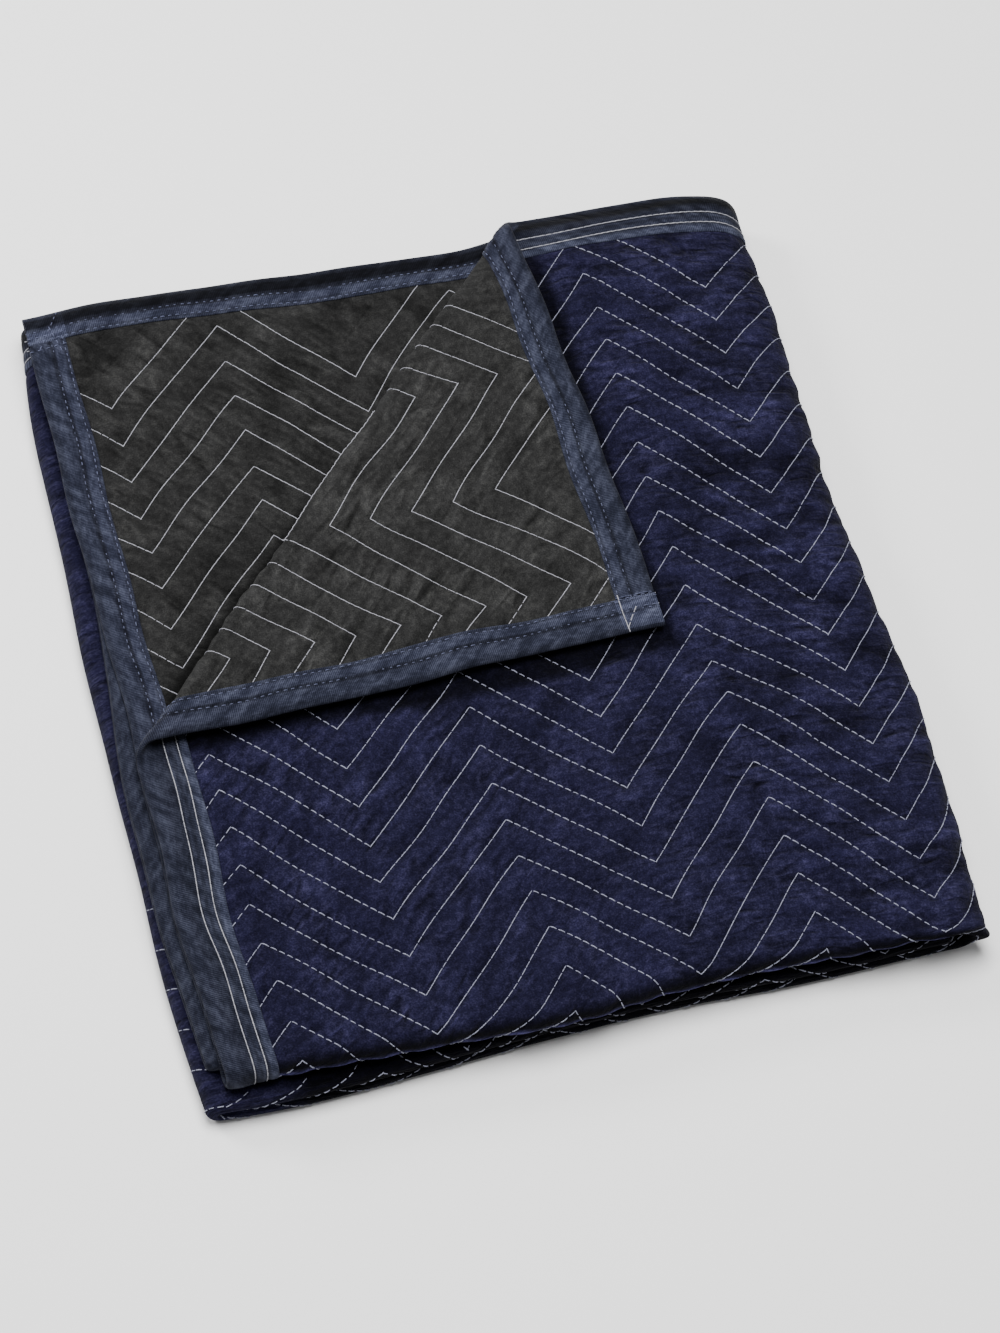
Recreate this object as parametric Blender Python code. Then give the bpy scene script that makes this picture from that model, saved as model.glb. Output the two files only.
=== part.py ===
# A quilted moving blanket, folded in half lengthwise, then in half and in half again,
# and laid flat with one corner of its top layer turned back.
#
# Every piece is first made flat, in the blanket's own coordinates: u along its length, v across
# its width, w through its thickness (face side up). It is cut with a line wherever it will bend,
# and only then folded, by moving its points. The packet's own axes are X to the right, Y to the
# back and Z up.
import math
from collections import namedtuple

import bmesh
import bpy
from mathutils import Vector

MM = 0.001

# Quilting: zigzag rows an inch apart, run across the blanket's length.
ZIG_PERIOD = 152.4 * MM
ZIG_DEPTH = 75.0 * MM
ROW_SPACING = 25.4 * MM
FIRST_ROW = 0.3 * MM

# One layer of the blanket is a face cloth and a back cloth.
CLOTH = 1.9 * MM
CLOTH_GAP = 0.3 * MM
LAYER_HALF = CLOTH_GAP / 2 + CLOTH
FACE_PUFF = 0.4 * MM
FACE_DIP = 0.6 * MM
BACK_DIP = 0.8 * MM

# Binding tape, folded over each edge of the blanket, where the cloths are sewn thin. It reaches
# further over the face cloth than over the back cloth.
TAPE = 0.9 * MM
FACE_TAPE = 29.0 * MM
BACK_TAPE = 21.5 * MM
TAPE_LAP = 0.3 * MM
EDGE_CLOTH = 0.7 * MM
TAPE_INNER = CLOTH_GAP / 2 + EDGE_CLOTH + TAPE_LAP
TAPE_OUTER = TAPE_INNER + TAPE
FACE_BOUND = FACE_TAPE + TAPE_LAP
BACK_BOUND = BACK_TAPE + TAPE_LAP

# The stack: eight layers lie in four folded pairs.
LAYER_PITCH = 4.6 * MM
PAIR_PITCH = 2 * LAYER_PITCH
PAIR_HALF = LAYER_PITCH / 2

# Straight outline of the packet, before its unevenness, from a zigzag peak near its middle.
LEFT_X = -192.0 * MM
SECOND_LEFT_X = -196.0 * MM
LEFT_FOLD_X = -194.2 * MM
ROLL_X = 241.0 * MM
ROLL_REACH = 20.0 * MM
INNER_TURN_X = 243.0 * MM
FAR_Y = 330.5 * MM
LOWER_FAR_Y = 325.5 * MM
FRONT_Y = -205.0 * MM
RIGHT_X = ROLL_X + ROLL_REACH + PAIR_HALF + LAYER_HALF

# The front fold of the top pair is a loose loop that hangs over the second pair's, which is
# set back. The other pairs turn tightly.
TOP_LOOP = 7.0 * MM
LOOP_END_X = ZIG_PERIOD
LOOP_FADE = ZIG_PERIOD / 2
LOOP_RISE = 13.0 * MM
LOOP_RISE_STEPS = 4
SECOND_SETBACK = 20.0 * MM
NOSE_CLOTH = 29.6 * MM
NOSE_STEPS = 6

# The turned-back corner is the mirror image of its flat place about this line. It rolls over
# with a radius, and lies a little lower towards its tip.
CREASE_ANGLE = math.radians(45.4)
CREASE_X = -33.4 * MM
CREASE_Y = 174.0 * MM
CREASE_RADIUS = 5.5 * MM
CREASE_STEPS = 5
CREASE_EASE = 60.0 * MM
CORNER_DROOP = 0.015
HALF_ROLL = math.pi * CREASE_RADIUS / 2

# The stack is a little higher at its left than at its right.
HEIGHT_LEFT = 1.03
HEIGHT_RIGHT = 0.96

# How far each side stands off its straight line, from front to back.
Side = namedtuple("Side", "y top_pair second_pair left_fold right_roll")
SIDES = [
    Side(-203 * MM, 0.0 * MM, -2.0 * MM, -3.0 * MM, -10.0 * MM),
    Side(-127 * MM, -4.0 * MM, -7.0 * MM, -6.0 * MM, -3.0 * MM),
    Side(-50 * MM, -1.5 * MM, -7.0 * MM, -3.5 * MM, 1.5 * MM),
    Side(25 * MM, 2.0 * MM, -3.0 * MM, -2.0 * MM, 0.0 * MM),
    Side(102 * MM, 3.0 * MM, 6.0 * MM, 0.0 * MM, -1.0 * MM),
    Side(178 * MM, 4.0 * MM, 10.0 * MM, 5.0 * MM, 3.0 * MM),
    Side(254 * MM, 6.0 * MM, 12.0 * MM, 8.0 * MM, 7.0 * MM),
    Side(330 * MM, 7.0 * MM, 13.0 * MM, 17.0 * MM, 8.0 * MM),
]

# How far the far edges and the front folds stand off theirs, from left to right.
End = namedtuple("End", "x far_edge top_front second_front low_front")
ENDS = [
    End(-228.6 * MM, -6.0 * MM, 0.0 * MM, 0.0 * MM, 0.0 * MM),
    End(-152.4 * MM, 0.0 * MM, 0.0 * MM, 0.0 * MM, -4.0 * MM),
    End(-76.2 * MM, -2.5 * MM, 3.5 * MM, 3.0 * MM, -1.0 * MM),
    End(0.0 * MM, -6.0 * MM, 0.0 * MM, 0.0 * MM, 3.0 * MM),
    End(76.2 * MM, -7.0 * MM, 5.0 * MM, 4.5 * MM, 5.0 * MM),
    End(152.4 * MM, 2.0 * MM, 5.0 * MM, 4.5 * MM, 3.0 * MM),
    End(228.6 * MM, -1.0 * MM, 0.0 * MM, 0.0 * MM, 4.0 * MM),
    End(270.0 * MM, -10.0 * MM, -1.0 * MM, 0.0 * MM, 4.0 * MM),
]

# The pairs follow one another as straight runs and half turns. A run starts at x, z and heads
# right (1) or left (-1). A turn is centred at x, z; reach_x and reach_z are its half widths,
# signed towards where it bulges and where it starts, and heading -1 turns it inside out.
Span = namedtuple("Span", "kind length x z heading reach_x reach_z steps")


def half_ellipse(across, up):
    a, b = abs(across), abs(up)
    return math.pi * (3 * (a + b) - math.sqrt((3 * a + b) * (a + 3 * b))) / 2


def run(start_x, end_x, pair):
    heading = 1 if end_x > start_x else -1
    return Span("run", abs(end_x - start_x), start_x, (pair - 0.5) * PAIR_PITCH, heading, 0, 0, 0)


def turn(x, z, heading, reach_x, reach_z, steps):
    return Span("turn", half_ellipse(reach_x, reach_z), x, z, heading, reach_x, reach_z, steps)


SPANS = [
    run(LEFT_X, ROLL_X, 4),
    turn(ROLL_X, 2 * PAIR_PITCH, 1, ROLL_REACH, 1.5 * PAIR_PITCH, 7),
    run(ROLL_X, LEFT_FOLD_X, 1),
    turn(LEFT_FOLD_X, PAIR_PITCH, 1, -PAIR_PITCH / 2, -PAIR_PITCH / 2, 4),
    run(LEFT_FOLD_X, INNER_TURN_X, 2),
    turn(INNER_TURN_X, 2 * PAIR_PITCH, -1, PAIR_PITCH / 2, -PAIR_PITCH / 2, 4),
    run(INNER_TURN_X, SECOND_LEFT_X, 3),
]
TOP_RUN, RIGHT_ROLL, BOTTOM_RUN, LEFT_FOLD, THIRD_RUN, INNER_TURN, SECOND_RUN = range(7)
STARTS = [sum(span.length for span in SPANS[:i]) for i in range(len(SPANS) + 1)]

# The blanket's flat size, and where its width turns at the front.
LENGTH = STARTS[-1]
NOSE_START = FAR_Y - (FRONT_Y + TOP_LOOP + LAYER_HALF)
NOSE_END = NOSE_START + NOSE_CLOTH
WIDTH = NOSE_END + LOWER_FAR_Y - (FRONT_Y + TOP_LOOP + LAYER_HALF)


def smooth(t):
    t = min(max(t, 0.0), 1.0)
    return t * t * (3 - 2 * t)


def blend(a, b, t):
    return a + (b - a) * t


def read_table(table, column, at):
    # Linear between a table's rows; its first column is the place.
    for low, high in zip(table, table[1:]):
        if at <= high[0] or high is table[-1]:
            t = min(max((at - low[0]) / (high[0] - low[0]), 0.0), 1.0)
            return blend(getattr(low, column), getattr(high, column), t)


def zig(u):
    # 0 at the peaks of a zigzag row, 1 at its troughs.
    phase = ((u + LEFT_X) / ZIG_PERIOD) % 1.0
    return 1 - abs(2 * phase - 1)


def pillow(u, v):
    # 0 on a row of stitches, 1 midway between two rows.
    phase = ((v - FIRST_ROW - ZIG_DEPTH * zig(u)) / ROW_SPACING) % 1.0
    return 1 - abs(2 * phase - 1)


def edge_distance(u, v):
    return min(u, LENGTH - u, v, WIDTH - v)


# ---- folding ----

def on_polygon(point, start, length, steps, at):
    # A curve taken as straight between its steps; point gives its values at a place along it.
    place = (at - start) / length * steps
    low = min(max(math.floor(place), 0), steps - 1)
    ends = [point(start + length * step / steps) for step in (low, low + 1)]
    return [blend(a, b, place - low) for a, b in zip(*ends)]


def past_crease(u, v):
    # How far a flat place lies beyond the line where the corner starts to turn back.
    across_x = (LEFT_X + u - CREASE_X) * math.sin(CREASE_ANGLE)
    across_y = (FAR_Y - v - CREASE_Y) * math.cos(CREASE_ANGLE)
    return across_y - across_x + HALF_ROLL


def turn_corner(u, v, w):
    # Rolls the far left corner of the top layer back over the crease.
    past = past_crease(u, v)
    if past <= 0:
        return u, v, w

    def on_roll(place):
        angle = place / CREASE_RADIUS
        return (CREASE_RADIUS - w) * math.sin(angle), CREASE_RADIUS - (CREASE_RADIUS - w) * math.cos(angle)

    if past < 2 * HALF_ROLL:
        along, up = on_polygon(on_roll, 0, 2 * HALF_ROLL, CREASE_STEPS, past)
    else:
        along = 2 * HALF_ROLL - past
        up = 2 * CREASE_RADIUS - w + CORNER_DROOP * along
    moved = past - along
    return u + moved * math.sin(CREASE_ANGLE), v + moved * math.cos(CREASE_ANGLE), up


def pair_centre(u):
    # The centre of the folded pair: x, z and the direction of its first layer.
    index = max(i for i in range(len(SPANS)) if i == 0 or u >= STARTS[i])
    span, along = SPANS[index], u - STARTS[index]
    if span.kind == "run":
        return span.x + span.heading * along, span.z, 0.0, float(span.heading)

    def on_turn(place):
        angle = math.pi * place / span.length
        sine, cosine = math.sin(angle), math.cos(angle)
        across, up = sine / span.reach_x, cosine / span.reach_z
        size = span.heading * math.hypot(across, up)
        return span.x + span.reach_x * sine, span.z + span.reach_z * cosine, across / size, up / size

    return on_polygon(on_turn, 0, span.length, span.steps, along)


def top_share(u):
    # 1 along the top run, 0 once the right roll has turned under.
    return 1 - smooth((u - STARTS[RIGHT_ROLL]) / SPANS[RIGHT_ROLL].length)


def second_share(u):
    # 1 along the second run, which the inner turn leads into.
    return smooth((u - STARTS[INNER_TURN]) / SPANS[INNER_TURN].length)


def nose_radius(u):
    loose = 1 - (u + LEFT_X - LOOP_END_X) / LOOP_FADE
    return blend(PAIR_HALF, TOP_LOOP, min(max(loose, 0.0), 1.0))


def layer_centre(u, v):
    # The middle of a layer across the pair: y, and how far it is from the pair's centre; then
    # the way its face side points.
    radius = nose_radius(u)
    nose_y = FRONT_Y + SECOND_SETBACK * second_share(u) + radius + LAYER_HALF

    def on_layer(place):
        if place < NOSE_START:
            return FAR_Y - place / NOSE_START * (FAR_Y - nose_y), PAIR_HALF
        if place < NOSE_END:
            angle = math.pi * (place - NOSE_START) / NOSE_CLOTH
            return nose_y - radius * math.sin(angle), PAIR_HALF - radius + radius * math.cos(angle)
        back = (place - NOSE_END) / (WIDTH - NOSE_END) * (LOWER_FAR_Y - nose_y)
        rise = 2 * (radius - PAIR_HALF) * (1 - smooth((place - NOSE_END) / LOOP_RISE))
        return nose_y + back, -PAIR_HALF - rise

    def with_normal(place):
        y_before, off_before = on_layer(place - 0.05 * MM)
        y_after, off_after = on_layer(place + 0.05 * MM)
        size = math.hypot(y_after - y_before, off_after - off_before)
        return *on_layer(place), (off_after - off_before) / size, (y_before - y_after) / size

    if v < NOSE_START or v > NOSE_END + LOOP_RISE:
        return with_normal(v)
    if v < NOSE_END:
        return on_polygon(with_normal, NOSE_START, NOSE_CLOTH, NOSE_STEPS, v)
    return on_polygon(with_normal, NOSE_END, LOOP_RISE, LOOP_RISE_STEPS, v)


def unevenness(u, x, y):
    # How far the sides and ends stand off their straight lines, shared out between them.
    top, second = top_share(u), second_share(u)
    low = 1 - top - second
    left = (top * read_table(SIDES, "top_pair", y) + second * read_table(SIDES, "second_pair", y)
            + low * read_table(SIDES, "left_fold", y))
    front = (top * read_table(ENDS, "top_front", x) + second * read_table(ENDS, "second_front", x)
             + low * read_table(ENDS, "low_front", x))
    across = min((x - LEFT_X) / (ROLL_X - LEFT_X), 1.0)
    back = min((y - FRONT_Y) / (FAR_Y - FRONT_Y), 1.0)
    move_x = blend(left, read_table(SIDES, "right_roll", y), across)
    move_y = blend(front, read_table(ENDS, "far_edge", x), back)
    return move_x, move_y


def fold(flat_u, flat_v, flat_w):
    # From the flat blanket to the folded packet.
    u, v, w = turn_corner(flat_u, flat_v, flat_w)
    y, off, normal_y, normal_off = layer_centre(u, v)
    y += w * normal_y
    off += w * normal_off
    x, z, out_x, out_z = pair_centre(u)
    x, z = x + out_x * off, z + out_z * off
    bottom = PAIR_PITCH / 2 - PAIR_HALF - LAYER_HALF
    height = blend(HEIGHT_LEFT, HEIGHT_RIGHT, (x - LEFT_X) / (RIGHT_X - LEFT_X))

    # The crease itself is straight, and the turned corner carries its own edges' unevenness.
    past = past_crease(flat_u, flat_v)
    if past > 2 * HALF_ROLL:
        move_x, move_y = 0.0, read_table(SIDES, "top_pair", FAR_Y - flat_v)
        share = min((past - 2 * HALF_ROLL) / CREASE_EASE, 1.0)
    else:
        move_x, move_y = unevenness(u, x, y)
        share = min(max(-past / CREASE_EASE, 0.0), 1.0)
    return Vector((x + share * move_x, y + share * move_y, (z - bottom) * height))


# ---- lines that the flat pieces are cut on ----

def cut(bm, point, normal, faces=None):
    chosen = bm.faces[:] if faces is None else faces
    geometry = set(chosen)
    for face in chosen:
        geometry.update(face.edges)
        geometry.update(face.verts)
    bmesh.ops.bisect_plane(bm, geom=list(geometry), dist=1e-6, plane_co=point, plane_no=normal)


def faces_between(bm, u_low, u_high, v_low, v_high):
    centres = [(face, face.calc_center_median()) for face in bm.faces]
    return [face for face, at in centres if u_low < at.x < u_high and v_low < at.y < v_high]


def faces_touching(bm, patch):
    u_low, u_high, v_low, v_high = patch
    found = []
    for face in bm.faces:
        us = [vert.co.x for vert in face.verts]
        vs = [vert.co.y for vert in face.verts]
        if max(us) > u_low and min(us) < u_high and max(vs) > v_low and min(vs) < v_high:
            found.append(face)
    return found


def cut_across_u(bm, lines, v_low, v_high):
    for u in lines:
        cut(bm, (u, 0, 0), (1, 0, 0), faces_between(bm, -LENGTH, 2 * LENGTH, v_low, v_high))


def cut_across_v(bm, lines, u_low, u_high):
    for v in lines:
        cut(bm, (0, v, 0), (0, 1, 0), faces_between(bm, u_low, u_high, -WIDTH, 2 * WIDTH))


def cut_bends(bm):
    # The lines of the turns, the front folds and the rise behind the top loop.
    for start, span in zip(STARTS, SPANS):
        if span.kind == "turn":
            cut_across_u(bm, [start + span.length * i / span.steps for i in range(span.steps + 1)], -1, 2)
    cut_across_v(bm, [blend(NOSE_START, NOSE_END, i / NOSE_STEPS) for i in range(NOSE_STEPS + 1)], -1, 3)
    for i in range(1, LOOP_RISE_STEPS + 1):
        faces = faces_between(bm, -1, STARTS[RIGHT_ROLL], NOSE_END, WIDTH)
        cut(bm, (0, NOSE_END + LOOP_RISE * i / LOOP_RISE_STEPS, 0), (0, 1, 0), faces)


def cut_outline(bm):
    # The places where the sides, the far edges and the front folds change direction.
    rows = [FAR_Y - side.y for side in SIDES[1:-1]]
    rows += [WIDTH - (LOWER_FAR_Y - side.y) for side in SIDES[1:-1]]
    rows += [FACE_BOUND, WIDTH - FACE_BOUND]
    cut_across_v(bm, rows, -1, FACE_BOUND)
    cut_across_v(bm, rows, LENGTH - FACE_BOUND, LENGTH + 1)
    cut_across_v(bm, rows, STARTS[RIGHT_ROLL], STARTS[BOTTOM_RUN])
    cut_across_v(bm, rows, STARTS[LEFT_FOLD], STARTS[THIRD_RUN])
    columns = []
    for start, span in zip(STARTS, SPANS):
        if span.kind == "run":
            columns += [start + (end.x - span.x) * span.heading for end in ENDS[1:-1]]
    cut_across_u(bm, columns, -1, FACE_BOUND)
    cut_across_u(bm, columns, WIDTH - FACE_BOUND, WIDTH + 1)
    cut_across_u(bm, columns, NOSE_START, NOSE_END)
    cut_across_u(bm, columns[:len(ENDS) - 2], NOSE_END, NOSE_END + LOOP_RISE)


def cut_crease_lines(bm):
    # The crease ends on the left edge and on the far edge.
    normal = (math.sin(CREASE_ANGLE), math.cos(CREASE_ANGLE), 0)
    places = [2 * HALF_ROLL * i / CREASE_STEPS for i in range(CREASE_STEPS + 1)]
    for past in [-CREASE_EASE, *places, 2 * HALF_ROLL + CREASE_EASE]:
        u = (past_crease(0, 0) - past) / normal[0]
        cut(bm, (u, 0, 0), normal)


def cut_quilting(bm, patch):
    # Straight lines on and midway between the rows, in each half period of the zigzag.
    u_low, u_high, v_low, v_high = patch
    half = ZIG_PERIOD / 2
    columns = range(math.floor((u_low + LEFT_X) / half), math.ceil((u_high + LEFT_X) / half))
    strips = [(max(i * half - LEFT_X, u_low), min((i + 1) * half - LEFT_X, u_high)) for i in columns]
    for line in [u_low] + [strip[1] for strip in strips]:
        cut(bm, (line, 0, 0), (1, 0, 0), faces_touching(bm, patch))
    for line in (v_low, v_high):
        cut(bm, (0, line, 0), (0, 1, 0), faces_touching(bm, patch))
    for column, strip in zip(columns, strips):
        start_u = column * half - LEFT_X
        slope = ZIG_DEPTH / half * (1 if column % 2 == 0 else -1)
        at_start = 0 if column % 2 == 0 else ZIG_DEPTH
        row = math.floor((v_low - FIRST_ROW - ZIG_DEPTH) / (ROW_SPACING / 2))
        while FIRST_ROW + row * ROW_SPACING / 2 < v_high:
            start_v = FIRST_ROW + row * ROW_SPACING / 2 + at_start
            cut(bm, (start_u, start_v, 0), (-slope, 1, 0), faces_between(bm, *strip, v_low, v_high))
            row += 1


# ---- cloths and tapes ----

def flat_sheet(bm, outline, height):
    corners = [bm.verts.new((u, v, height)) for u, v in outline]
    return bm.faces.new(corners)


def make_cloth(side, patches):
    # side is 1 for the face cloth and -1 for the back cloth.
    bm = bmesh.new()
    flat_sheet(bm, [(0, 0), (LENGTH, 0), (LENGTH, WIDTH), (0, WIDTH)], 0)
    cut_bends(bm)
    for bound in {FACE_BOUND, BACK_BOUND if side < 0 else FACE_BOUND}:
        for line in (bound, LENGTH - bound):
            cut(bm, (line, 0, 0), (1, 0, 0))
        for line in (bound, WIDTH - bound):
            cut(bm, (0, line, 0), (0, 1, 0))
    cut_outline(bm)
    for patch in patches:
        cut_quilting(bm, patch)
    cut_crease_lines(bm)

    rim = [edge for edge in bm.edges if edge.is_boundary]
    loop = [rim[0].verts[0]]
    edge = rim[0]
    while len(loop) < len(rim):
        loop.append(edge.other_vert(loop[-1]))
        edge = next(e for e in loop[-1].link_edges if e.is_boundary and e is not edge)
    inner = bmesh.new()
    flat_sheet(inner, [vert.co.xy for vert in loop], 0)
    cut_bends(inner)
    cut_outline(inner)
    cut_crease_lines(inner)

    for vert in bm.verts:
        vert.co.z = side * (CLOTH_GAP / 2 + cloth_thickness(vert.co.x, vert.co.y, side, patches))
    for vert in inner.verts:
        vert.co.z = side * CLOTH_GAP / 2
    return join_skins(bm, inner)


def cloth_thickness(u, v, side, patches):
    bound = FACE_BOUND if side > 0 else BACK_BOUND
    if edge_distance(u, v) < bound + 0.01 * MM:
        return EDGE_CLOTH
    quilted = any(u0 <= u <= u1 and v0 <= v <= v1 for u0, u1, v0, v1 in patches)
    if not quilted:
        return CLOTH
    if side < 0:
        return CLOTH - BACK_DIP * (1 - pillow(u, v))
    return CLOTH + FACE_PUFF - (FACE_PUFF + FACE_DIP) * (1 - pillow(u, v))


def join_skins(bm, inner):
    # Closes a cloth: its inner skin is added, and walls join the two along their rims.
    def place(vert):
        return round(vert.co.x / (0.001 * MM)), round(vert.co.y / (0.001 * MM))

    outer_rim = [edge for edge in bm.edges if edge.is_boundary]
    copies = {vert: bm.verts.new(vert.co) for vert in inner.verts}
    for face in inner.faces:
        bm.faces.new([copies[vert] for vert in face.verts])
    rim_below = {place(vert): copies[vert] for vert in inner.verts if vert.is_boundary}
    for edge in outer_rim:
        a, b = edge.verts
        bm.faces.new((a, b, rim_below[place(b)], rim_below[place(a)]))
    inner.free()
    return bm


def make_tape(along_u, at_low_edge, covers_start):
    # A U-shaped strip over one edge. It covers the corner at one end, and at the other stops
    # short of the tape that covers that corner, on each side at that tape's width.
    distances = [
        (FACE_TAPE, TAPE_OUTER), (0, TAPE_OUTER), (-1.6 * MM, 1.0 * MM), (-1.6 * MM, -1.0 * MM),
        (0, -TAPE_OUTER), (BACK_TAPE, -TAPE_OUTER),
        (BACK_TAPE, -TAPE_INNER), (-0.6 * MM, -TAPE_INNER), (-0.6 * MM, TAPE_INNER),
        (FACE_TAPE, TAPE_INNER),
    ]
    edge_length = LENGTH if along_u else WIDTH
    start = -1.6 * MM if covers_start else FACE_BOUND
    end = edge_length - FACE_BOUND if covers_start else edge_length + 1.6 * MM
    bm = bmesh.new()
    far_edge = WIDTH if along_u else LENGTH
    section = []
    for distance, w in distances:
        across = distance if at_low_edge else far_edge - distance
        section.append(bm.verts.new((start, across, w) if along_u else (across, start, w)))
    face = bm.faces.new(section)
    grown = bmesh.ops.extrude_face_region(bm, geom=[face])["geom"]
    step = Vector((end - start, 0, 0)) if along_u else Vector((0, end - start, 0))
    moved = [part for part in grown if isinstance(part, bmesh.types.BMVert)]
    bmesh.ops.translate(bm, vec=step, verts=moved)
    short_end = [vert for vert in bm.verts if (vert in moved) == covers_start and vert.co.z < 0]
    lap = FACE_TAPE - BACK_TAPE if covers_start else BACK_TAPE - FACE_TAPE
    bmesh.ops.translate(bm, vec=Vector((lap, 0, 0)) if along_u else Vector((0, lap, 0)), verts=short_end)
    cut_bends(bm)
    cut_outline(bm)
    cut_crease_lines(bm)
    return bm


def finish(bm, name, material, collection):
    bmesh.ops.triangulate(bm, faces=bm.faces[:], quad_method="FIXED", ngon_method="BEAUTY")
    bmesh.ops.recalc_face_normals(bm, faces=bm.faces[:])
    for vert in bm.verts:
        vert.co = fold(*vert.co)
    # v runs towards the front, so folding mirrors the piece.
    bmesh.ops.reverse_faces(bm, faces=bm.faces[:])
    mesh = bpy.data.meshes.new(name)
    bm.to_mesh(mesh)
    bm.free()
    mesh.materials.append(material)
    mesh.shade_smooth()
    mesh.set_sharp_from_angle(angle=math.radians(50))
    piece = bpy.data.objects.new(name, mesh)
    collection.objects.link(piece)
    return piece


def make_material(name, colour, roughness):
    material = bpy.data.materials.new(name)
    material.use_nodes = True
    shader = material.node_tree.nodes["Principled BSDF"]
    shader.inputs["Base Color"].default_value = (*colour, 1.0)
    shader.inputs["Roughness"].default_value = roughness
    shader.inputs["Metallic"].default_value = 0.0
    material.diffuse_color = (*colour, 1.0)
    return material


def stand_on_floor(pieces):
    # Puts the packet's lowest face at z = 0 and the middle of its outline at x = y = 0.
    points = [vert.co for piece in pieces for vert in piece.data.vertices]
    low = Vector([min(point[i] for point in points) for i in range(3)])
    high = Vector([max(point[i] for point in points) for i in range(3)])
    offset = Vector(((low.x + high.x) / 2, (low.y + high.y) / 2, low.z))
    for piece in pieces:
        for vert in piece.data.vertices:
            vert.co -= offset


def main():
    for obj in list(bpy.data.objects):
        bpy.data.objects.remove(obj, do_unlink=True)
    collection = bpy.data.collections.new("moving_blanket")
    bpy.context.scene.collection.children.link(collection)

    navy = make_material("navy_brushed_cloth", (0.014, 0.014, 0.045), 0.95)
    black = make_material("black_backing_cloth", (0.022, 0.022, 0.021), 0.95)
    grey_blue = make_material("grey_blue_binding_tape", (0.055, 0.068, 0.140), 0.85)

    corner_reach = past_crease(0, 0) * math.sqrt(2)
    roll = SPANS[RIGHT_ROLL]
    top_patch = (FACE_BOUND, STARTS[RIGHT_ROLL] + roll.length * 4 / roll.steps, FACE_BOUND, NOSE_START)
    corner_patch = (BACK_BOUND, corner_reach, BACK_BOUND, corner_reach)
    below_corner_patch = (BACK_BOUND, corner_reach, WIDTH - corner_reach, WIDTH - BACK_BOUND)

    face = make_cloth(1, [top_patch])
    back = make_cloth(-1, [corner_patch, below_corner_patch])
    pieces = [
        finish(face, "face_cloth", navy, collection),
        finish(back, "back_cloth", black, collection),
    ]
    tapes = [
        ("binding_start_edge", make_tape(along_u=False, at_low_edge=True, covers_start=True)),
        ("binding_lower_edge", make_tape(along_u=True, at_low_edge=False, covers_start=True)),
        ("binding_end_edge", make_tape(along_u=False, at_low_edge=False, covers_start=False)),
        ("binding_upper_edge", make_tape(along_u=True, at_low_edge=True, covers_start=False)),
    ]
    for name, tape in tapes:
        pieces.append(finish(tape, name, grey_blue, collection))
    stand_on_floor(pieces)


main()
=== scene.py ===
import math
from functools import partial

import bpy
import numpy as np
from mathutils import Matrix, Vector


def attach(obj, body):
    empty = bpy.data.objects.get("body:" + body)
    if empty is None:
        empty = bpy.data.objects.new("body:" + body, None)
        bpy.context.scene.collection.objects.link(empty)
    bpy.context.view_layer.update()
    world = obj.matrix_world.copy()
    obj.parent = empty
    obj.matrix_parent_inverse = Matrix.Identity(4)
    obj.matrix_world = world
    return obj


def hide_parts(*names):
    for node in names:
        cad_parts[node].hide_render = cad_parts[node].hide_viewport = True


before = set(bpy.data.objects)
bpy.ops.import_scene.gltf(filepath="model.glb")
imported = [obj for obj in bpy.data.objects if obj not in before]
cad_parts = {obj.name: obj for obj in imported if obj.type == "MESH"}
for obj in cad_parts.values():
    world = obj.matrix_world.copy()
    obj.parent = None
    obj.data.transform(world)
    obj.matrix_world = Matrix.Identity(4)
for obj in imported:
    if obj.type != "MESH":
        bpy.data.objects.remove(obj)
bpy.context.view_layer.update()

mm = 0.001

# How the blanket is folded; x is to the right, y to the back. These are the solids' own sizes, apart
# from the first two top fronts in ends, where the top pair's near left corner is drawn back.
packet = {
    "layerHalf": 2.05 * mm,
    "pairPitch": 9.2 * mm,
    "pairHalf": 2.3 * mm,
    "leftX": -192.0 * mm,
    "secondLeftX": -196.0 * mm,
    "leftFoldX": -194.2 * mm,
    "rollX": 241.0 * mm,
    "rollReach": 20.0 * mm,
    "innerTurnX": 243.0 * mm,
    "farY": 330.5 * mm,
    "lowerFarY": 325.5 * mm,
    "frontY": -205.0 * mm,
    "topLoop": 7.0 * mm,        # half height of the loose loop at the front of the top pair
    "loopEndX": 152.4 * mm,
    "loopFade": 76.2 * mm,
    "loopRise": 13.0 * mm,
    "secondSetback": 20.0 * mm,
    "noseCloth": 29.6 * mm,     # cloth in a front fold
    "creaseAngle": math.radians(45.4),
    "creaseX": -33.4 * mm,
    "creaseY": 174.0 * mm,
    "creaseRadius": 5.5 * mm,
    "creaseEase": 60.0 * mm,
    "cornerDroop": 0.015,
    "heightLeft": 1.03,
    "heightRight": 0.96,
    "middleX": 31.788 * mm,     # the packet's middle stands over the origin
    "middleY": 62.557 * mm,
}

# Side lines, front to back: y, then how far the top pair, second pair, left fold and right roll
# stand off their straight line.
sides = mm * np.array([
    (-203, 0, -2, -3, -10),
    (-127, -4, -7, -6, -3),
    (-50, -1.5, -7, -3.5, 1.5),
    (25, 2, -3, -2, 0),
    (102, 3, 6, 0, -1),
    (178, 4, 10, 5, 3),
    (254, 6, 12, 8, 7),
    (330, 7, 13, 17, 8),
])
topPair, secondPair, leftFoldColumn, rightRollColumn = 1, 2, 3, 4

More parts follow.
